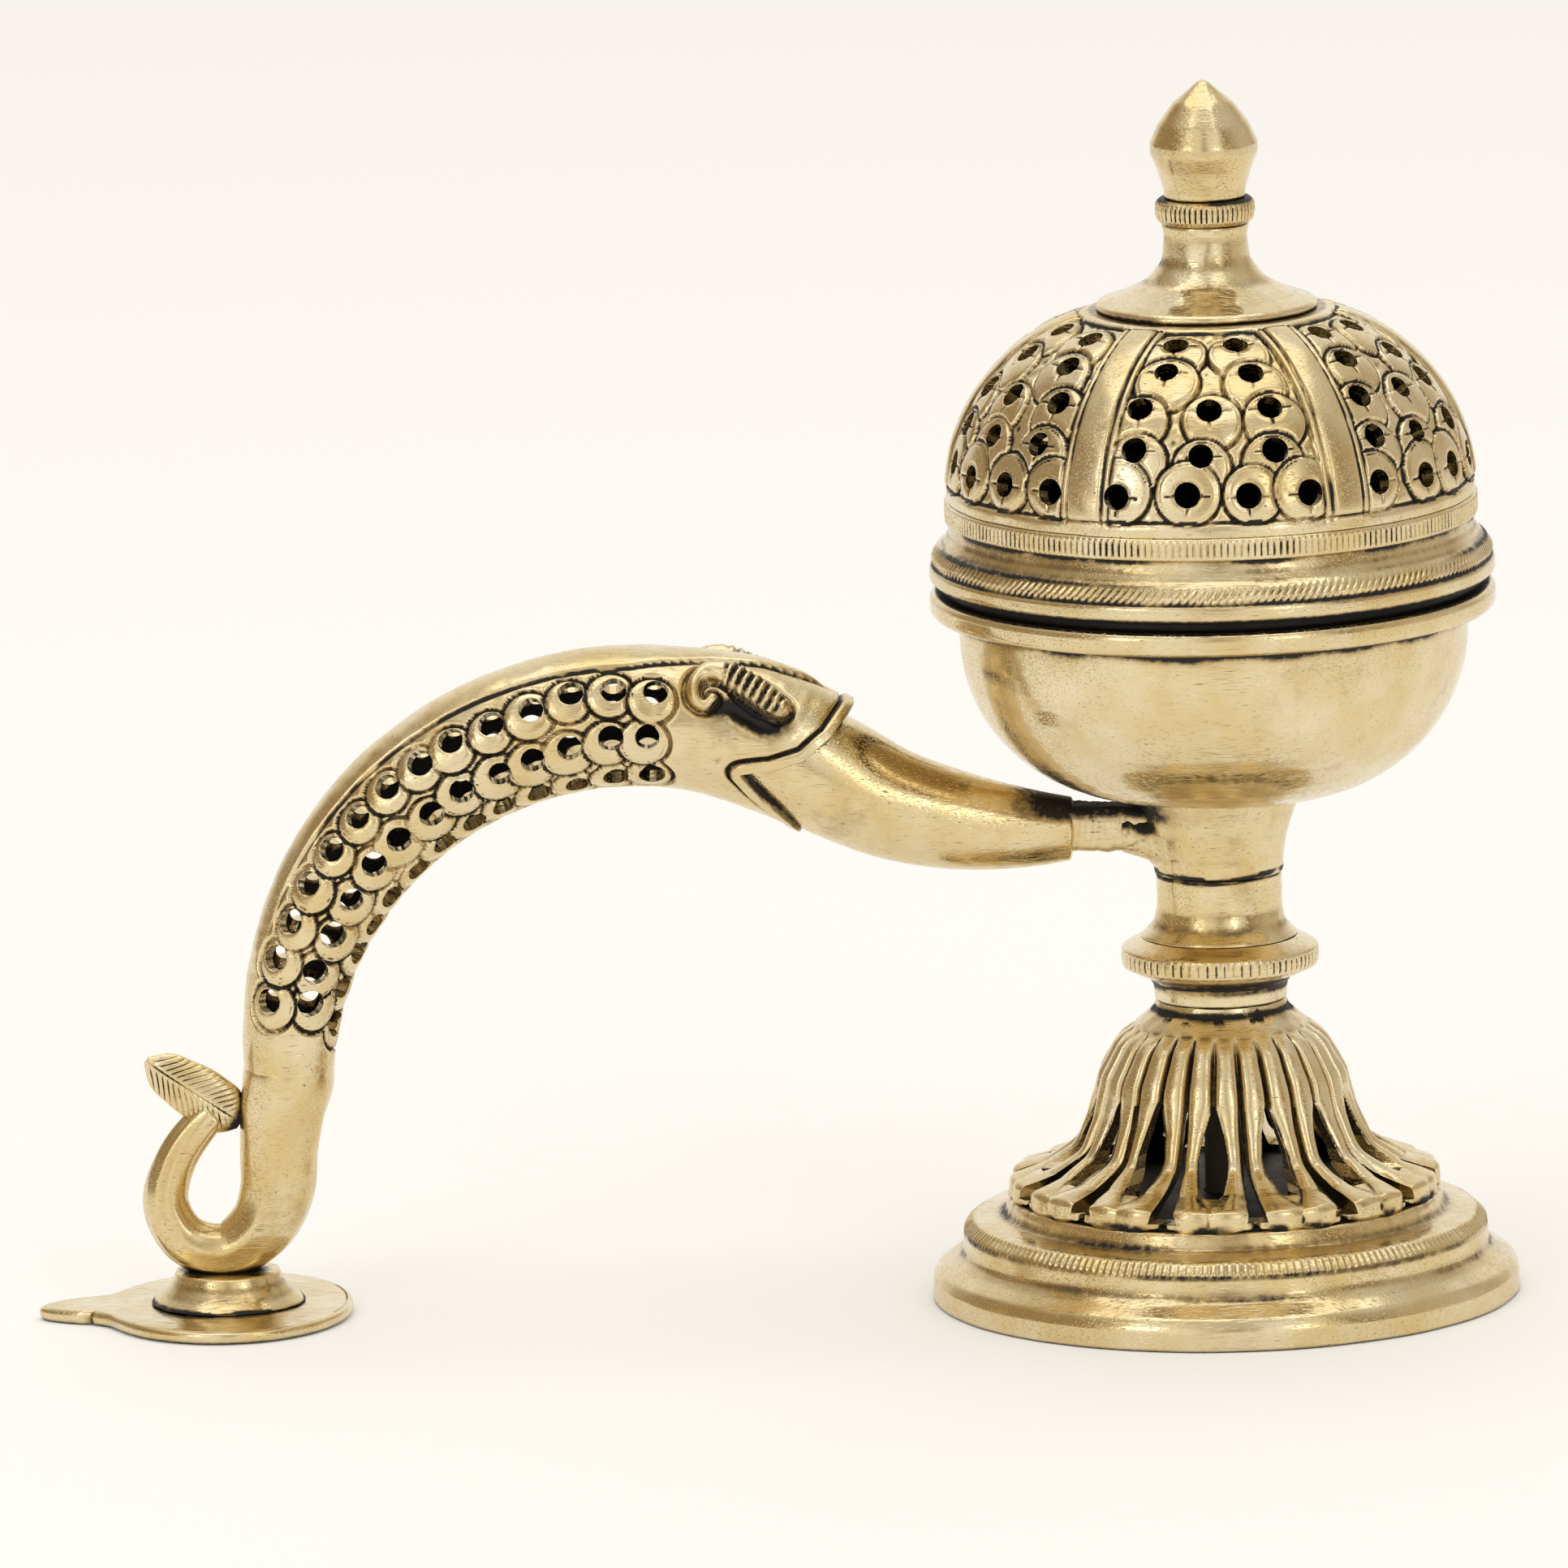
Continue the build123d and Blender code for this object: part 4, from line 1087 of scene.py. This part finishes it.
def make_handle():
    tube_rows, head_rows, columns = 268, 122, 228
    around = np.arange(columns) * TURN / columns
    centre, out, radii, places = sweep(handle_stations(), 900)
    mouth = places[np.argmin(np.abs(centre[:, 0] - (STAND_X + MOUTH)))]
    nape = ARCH_RADIUS * math.radians(90)
    from_top = np.degrees(np.abs((around - math.pi / 2 + math.pi) % TURN - math.pi))
    reach = mouth + np.interp(from_top, JAW_TURNS, JAW_REACH)
    tube_places = np.repeat(np.linspace(0, nape, tube_rows)[:, None], columns, axis=1)
    share = np.linspace(0, 1, head_rows + 1)[1:, None]
    place = np.concatenate([tube_places, nape + share * (reach - nape)])
    turn = turn_grid(len(place), columns)

    def along(columns_of, wanted):
        """Columns of values at the stations, read at any places along the path."""
        return np.stack([np.interp(wanted, places, column) for column in columns_of.T], axis=-1)

    rise = np.sin(turn)[..., None] * along(out, place)
    outward = rise - np.cos(turn)[..., None] * np.array([0, 1.0, 0])
    radius = along(radii, place)[..., 0]
    surface = along(centre, place) + outward * radius[..., None]
    flat = surface.reshape(-1, 3)

    holes = tube_holes()
    level = scale_relief(flat, holes)
    in_head = (place > nape - 3).reshape(-1)
    face, face_dark = face_relief(flat[in_head], surface[-1])
    level[in_head] = np.where(np.abs(face) > 0.02, level[in_head] * 0.3 + face, level[in_head])
    level = level.reshape(place.shape)

    # A smooth raised band runs along the back, fades towards the tail and narrows to a crest between
    # the brows
    crest = mouth - 2.0
    half = radius * np.interp(place, [0, nape, crest], [0.55, 0.55, 0.06])
    sideways = np.abs(np.cos(turn)) * radius
    facing = plateau(-np.sin(turn), 0.05) * unit((place - 12) / 18) * plateau(place - crest, 0.8)
    tall = np.interp(place, [0, nape, crest], [0.35, 0.40, 0.75])
    band = tall * plateau(sideways - half, 0.10) - 0.32 * groove(sideways - half - 0.40, 0.24)
    level += facing * band
    level += 0.05 * lumps(surface, 74, 0.5) + 0.025 * lumps(surface, 75, 1.6)

    outer = surface + outward * level[..., None]
    back = np.linspace(mouth - 6.0, 0, 40)
    bore = along(radii, back) - TUBE_WALL
    inner = tube_rings(along(centre, back), along(out, back), bore, bore, turn_grid(len(back), columns))
    lip = outer[-1] - outward[-1] * 1.9
    root = outer[0] - outward[0] * 0.12 - np.array([0, 0, 0.8])
    rings = np.concatenate([root[None], outer, lip[None], inner])
    face_patina = np.zeros(len(flat))
    face_patina[in_head] = face_dark
    # The bore stays fully black: painted shade inside the tube, seen through the holes and the mouth.
    patina_and_shade = np.ones(rings.shape[:2])
    patina_and_shade[0] = 0
    hollows = tarnish(outer, reach=9, depth=0.072, seed=76)
    patina_and_shade[1 : len(outer)] = np.maximum(hollows, face_patina.reshape(place.shape))[:-1]
    patina_and_shade[len(outer)] = 0.2
    piece = skin("handle_carved", rings, True, patina_and_shade)
    cutters = []
    for hole_turn, lean, size, _ in holes:
        mark, direction = tube_point(hole_turn, lean)
        cutters.append(drill(mark, direction, 1.93 + random.normal(0, 0.07), 1.6, 3.6, 24))
    bored(piece, prisms(cutters))
    finish_piece(piece, CAST, "cast_brass", "handle_tube", "head", "brow_near", "brow_far", "back_ridge")


def make_snout():
    stations = [
        (-74.0, 90.0, 9.0), (-66.0, 86.2, 9.4), (-58.6, 82.2, 9.4), (-50.2, 77.9, 8.6),
        (-41.2, 75.2, 7.7), (-30.0, 73.6, 6.1), (-21.6, 73.2, 4.7),
    ]
    rows, columns = 220, 200
    centre, out, radii, places = sweep(stations, rows)
    turn = turn_grid(rows, columns)
    place = np.repeat(places[:, None], columns, axis=1)
    end = places[-1]
    radius = radii[:, :1] + 0.10 * np.sin(2 * turn + place * 0.10) + 0.05 * np.sin(5 * turn - place * 0.21)
    radius = radius * np.sqrt(np.clip((end - place) / 0.9, 0.02, 1))  # the rounded end
    rings = tube_rings(centre, out, radius, radius, turn)
    # The top near the end is darkened: painted shade and painted reflection under the bowl, with some
    # tarnish.
    top = plateau(0.42 - np.sin(turn) + 0.16 * lumps(rings, 77, 0.4), 0.12)
    soot_and_shade = top * unit((place - end + 13) / 9)
    patina_and_shade = unit(tarnish(rings, reach=16, depth=0.35, seed=78) + 0.95 * soot_and_shade)
    piece = skin("snout_smooth", rings, False, patina_and_shade)
    finish_piece(piece, TURNED, "turned_brass", "snout")


def straight(x, z):
    """Centres and upward directions of a nearly level path, from its x from the stand and its z."""
    flat = np.zeros_like(x)
    return np.stack([STAND_X + x, flat, z], axis=1), np.stack([flat, flat, flat + 1.0], axis=1)


def make_lug():
    """The square filed bar between the snout and the stem."""
    rows, columns = 80, 140
    turn = turn_grid(rows, columns)
    centre, out = straight(np.linspace(-23.4, -9.6, rows), np.linspace(73.7, 73.3, rows))
    corner = (np.abs(np.cos(turn)) ** 5 + np.abs(np.sin(turn)) ** 5) ** (-1 / 5)
    rings = tube_rings(centre, out, 4.1 * corner, 3.5 * corner, turn)
    filed = 0.10 * lumps(rings, 71, 1.1) + 0.06 * lumps(rings * np.array([3.0, 0.4, 0.4]), 79, 1.2)
    rings = rings + filed[..., None] * np.array([0, 1.0, 1.0])
    # The top is darkened: painted shade and painted reflection under the bowl, with some tarnish.
    top = plateau(0.55 - np.sin(turn), 0.08)
    patina_and_shade = unit(tarnish(rings, depth=0.16, seed=80) + 0.9 * top)
    piece = skin("handle_lug_filed", rings, False, patina_and_shade)
    finish_piece(piece, BRAZED, "brazed_brass", "handle_lug")


def make_braze():
    """The rough flare of braze that runs from the lug into the stem's neck."""
    rows, columns = 90, 180
    turn = turn_grid(rows, columns)
    share = np.linspace(0, 1, rows)
    centre, out = straight(-15.2 + 8.2 * share, 73.2 - 1.6 * share)
    start = np.sqrt(np.clip(share / 0.05, 0.03, 1))
    across = ((4.4 + 3.4 * share**2.6) * start)[:, None]
    up = ((3.6 + 3.0 * share**2.0) * start)[:, None]
    rings = tube_rings(centre, out, across, up, turn)
    direction = rings - centre[:, None, :]
    direction /= np.maximum(np.linalg.norm(direction, axis=-1), 1e-6)[..., None]
    bumps = lumps(rings, 73, 0.8) * 0.16 + lumps(rings, 84, 2.4) * 0.07
    rings = rings + bumps[..., None] * direction
    # The top is darkened: painted shade and painted reflection under the bowl, with some tarnish.
    top = plateau(0.25 - np.sin(turn) + 0.2 * lumps(rings, 85, 0.6), 0.10)
    patina_and_shade = unit(tarnish(rings, depth=0.14, seed=86) + 0.9 * top)
    piece = skin("braze_collar_rough", rings, False, patina_and_shade)
    finish_piece(piece, BRAZED, "brazed_brass", "braze_collar")


def make_tail():
    stations = [
        (-143.7, 40.2, 6.7), (-143.8, 38.6, 7.0), (-145.0, 32.0, 6.6), (-145.7, 26.0, 6.1),
        (-146.2, 19.8, 5.8), (-148.8, 13.9, 5.2), (-154.4, 10.2, 4.4), (-160.6, 12.2, 3.9),
        (-163.4, 17.8, 3.5), (-162.0, 24.0, 3.1), (-157.6, 30.2, 2.7), (-155.0, 32.6, 2.3),
    ]
    rows, columns = 260, 120
    centre, out, radii, places = sweep(stations, rows)
    turn = turn_grid(rows, columns)
    place = np.repeat(places[:, None], columns, axis=1)
    facet = 0.10 * np.cos(6 * turn + place * 0.05) + 0.05 * np.sin(9 * turn - place * 0.3)
    cap = np.sqrt(np.clip((places[-1] - place) / 1.2, 0.03, 1))
    radius = (radii[:, :1] + facet * plateau(6 - place, 1.5)) * cap
    rings = tube_rings(centre, out, radius, radius, turn)
    piece = skin("tail_curled", rings, False, tarnish(rings, reach=16, depth=0.3, seed=87))
    finish_piece(piece, CAST, "cast_brass", "tail")


def make_fin():
    # Stations of (x from the stand, z, half width, half thickness)
    stations = [
        (-151.4, 30.6, 1.5, 1.0), (-153.0, 31.6, 3.4, 1.7), (-156.4, 34.0, 4.3, 2.0),
        (-160.6, 36.8, 3.9, 1.7), (-164.2, 39.3, 2.6, 1.3), (-165.8, 40.4, 0.7, 0.6),
    ]
    count = 150
    centre, out, radii, places = sweep(stations, count)
    turn = turn_grid(count, count)
    place = np.repeat(places[:, None], count, axis=1)
    wide, thick = np.maximum(radii[:, :1], 0.2), np.maximum(radii[:, 1:], 0.2)
    sideways = np.sin(turn) * wide
    face = plateau(0.25 - np.abs(np.cos(turn)), 0.05)
    pitch = 1.05
    phase = ((place + np.abs(sideways) * 0.9) / pitch + 0.1 * np.sin(place)) % 1.0
    barbs = groove(np.minimum(phase, 1 - phase) * pitch, 0.17) * plateau(0.6 - np.abs(sideways), 0.2)
    barbs *= plateau(2.5 - place, 0.5) * face
    spine = groove(sideways, 0.22) * face * plateau(2.0 - place, 0.5)
    rings = tube_rings(centre, out, thick - 0.30 * barbs - 0.22 * spine, wide, turn)
    root = plateau(place - 1.2, 0.4)
    patina_and_shade = unit(tarnish(rings, reach=9, depth=0.10, seed=88) + root)
    piece = skin("tail_fin_chased", rings, False, patina_and_shade)
    finish_piece(piece, CAST, "cast_brass", "tail_fin")


FOOT_X = STAND_X - 154.2


def boss_relief(r, z, turn):
    """The uneven flare of the boss under the tail."""
    return 0.14 * wander(turn, 81) * plateau(6 - r, 0.5) - 0.05


def make_foot():
    low, high = span("foot_boss")
    corners = [
        (1.6, high[2], 0), (8.1, high[2], 0.5), (8.6, 5.6, 2.0), (9.9, 4.0, 2.5),
        (12.0, low[2] + 0.1, 0.3), (11.8, low[2], 0.1), (1.6, low[2], 0),
    ]
    turned_piece("foot_boss", corners, boss_relief, joint_stain(2.5, 0.25, 82), axis=FOOT_X, seed=89)

    # The plate is an oval drawn out to a leaf's tip at the handle's outer end
    low, high = span("foot_plate")
    columns = 360
    around = np.arange(columns) * TURN / columns
    oval = 1 / np.sqrt((np.cos(around) / 19.3) ** 2 + (np.sin(around) / 22.7) ** 2)
    from_tip = np.abs(around - math.pi)
    edge = oval + 10.0 * np.exp(-((from_tip / math.radians(13.5)) ** 2))
    edge -= 0.9 * groove(around - math.radians(194.5), 0.02) + 0.12 * wander(around, 83)
    middle, half = (high[2] + low[2]) / 2, (high[2] - low[2]) / 2
    outline = [(share * edge, high[2]) for share in np.linspace(0.05, 0.955, 40)]
    for bend in np.radians(np.linspace(90, -90, 11)):
        outline.append((edge - 0.9 * (1 - math.cos(bend)), middle + half * math.sin(bend)))
    outline += [(share * edge, low[2]) for share in np.linspace(0.93, 0.05, 12)]
    r = np.array([reach for reach, _ in outline])
    z = np.repeat(np.array([height for _, height in outline])[:, None], columns, axis=1)
    turn = turn_grid(len(outline), columns)
    top = (z > high[2] - 0.4).astype(float)
    z = z + top * (0.10 * np.sin(r * 0.35 + turn * 2) - 0.12)
    points = round_axis(r, z, turn) + np.array([FOOT_X, 0, 0])
    piece = skin("foot_plate_leaf", points, False, tarnish(points, reach=8, depth=0.25, seed=90))
    finish_piece(piece, TURNED, "turned_brass", "foot_plate")


for make in (
    make_base, make_bell, make_stem, make_bowl, make_lid_rim, make_dome, make_finial, make_handle,
    make_snout, make_lug, make_braze, make_tail, make_fin, make_foot,
):
    make()

# The fasteners keep their CAD meshes, in brass that is almost black all over: soot, with painted shade on
# the pieces that sit in the dark inside.
for name in (
    "tie_rod", "bowl_washer", "bowl_nut", "base_washer", "base_nut", "finial_stud", "lid_washer",
    "lid_nut", "foot_rivet",
):
    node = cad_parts[name]
    node.data.materials.clear()
    node.data.materials.append(HIDDEN)


# ---------------------------------------------------------------- studio


def area_light(name, place, target, size, power):
    light = bpy.data.lights.new(name, "AREA")
    light.shape = "RECTANGLE"
    light.size, light.size_y = size
    light.energy = power
    lamp = bpy.data.objects.new(name, light)
    lamp.location = place
    lamp.rotation_euler = (Vector(target) - Vector(place)).to_track_quat("-Z", "Y").to_euler()
    bpy.context.scene.collection.objects.link(lamp)


# The studio round the object: two softboxes beside the camera, a white wall behind the object and a
# faint panel at its right, in a dim warm room. Each is a heading, with 0 towards the camera, a half
# width in degrees, and how bright it is from 0 to 1.
SOFTBOXES = [(-27, 30, 1.0), (27, 27, 0.95), (180, 50, 1.0), (100, 40, 0.35)]
ROOM_LEVEL = 0.12
ROOM_COLOUR = (0.33, 0.22, 0.09, 1)
PANEL_COLOUR = (1.12, 1.09, 1.04, 1)


def make_studio():
    scene = bpy.context.scene
    mesh = bpy.data.meshes.new("floor")
    half = 6.0
    corners = [(-half, -half, 0), (half, -half, 0), (half, half, 0), (-half, half, 0)]
    mesh.from_pydata(corners, [], [(0, 1, 2, 3)])
    floor = bpy.data.objects.new("floor", mesh)
    scene.collection.objects.link(floor)
    paper = bpy.data.materials.new("floor_paper")
    n = Nodes(paper)
    inputs = {"Base Color": (0.93, 0.93, 0.92, 1), "Roughness": 0.9}
    inputs.update({"Emission Color": (1, 1, 1, 1), "Emission Strength": 0.17})
    shader = n.add("ShaderNodeBsdfPrincipled", inputs)
    n.add("ShaderNodeOutputMaterial", {"Surface": shader.outputs[0]})
    mesh.materials.append(paper)

    world = bpy.data.worlds.new("studio")
    scene.world = world
    n = Nodes(world)
    direction = n.add("ShaderNodeTexCoord").outputs["Generated"]
    split = n.add("ShaderNodeSeparateXYZ", {0: direction})
    heading = n.maths("ARCTAN2", split.outputs[0], n.product(split.outputs[1], -1.0))
    level = ROOM_LEVEL
    for middle, half_width, brightness in SOFTBOXES:
        facing = n.maths("COSINE", n.maths("SUBTRACT", heading, math.radians(middle)))
        edge = math.cos(math.radians(half_width))
        core = math.cos(math.radians(half_width * 0.35))
        level = n.maths("ADD", level, n.ramp(facing, edge, core, 0.0, brightness), clamp=True)
    ring = n.mix(level, ROOM_COLOUR, PANEL_COLOUR)
    high = n.ramp(split.outputs[2], 0.55, 0.85)
    glow = n.mix(high, ring, (0.78, 0.76, 0.72, 1))
    seen = n.add("ShaderNodeLightPath").outputs["Is Camera Ray"]
    colour = n.mix(seen, glow, (1, 1, 1, 1))
    back = n.add("ShaderNodeBackground", {"Color": colour, "Strength": 0.91})
    n.add("ShaderNodeOutputWorld", {"Surface": back.outputs[0]})

    middle = (0, 0, 0.09)
    area_light("top", (0.0, 0.1, 1.7), middle, (1.6, 1.6), 6.8)
    area_light("left", (-1.1, -1.5, 0.9), middle, (0.5, 1.0), 1.8)
    area_light("right", (1.0, -1.7, 0.8), middle, (0.4, 1.0), 1.4)

    lens = bpy.data.cameras.new("camera")
    lens.sensor_width = 36
    distance = 3.2
    frame_width = 0.2411
    lens.lens = lens.sensor_width * distance / frame_width
    camera = bpy.data.objects.new("camera", lens)
    scene.collection.objects.link(camera)
    target = Vector((STAND_X * MM - 0.0665, 0, 0.0813))
    elevation = math.radians(10.8)
    back_way = Vector((0, -math.cos(elevation), math.sin(elevation)))
    camera.location = target + back_way * distance
    camera.rotation_mode = "QUATERNION"
    look = (-back_way).to_track_quat("-Z", "Y")
    roll = Vector((0, 0, 1))
    camera.rotation_quaternion = look @ Quaternion(roll, math.radians(-1.4))
    scene.camera = camera
    scene.view_settings.view_transform = "Standard"


make_studio()
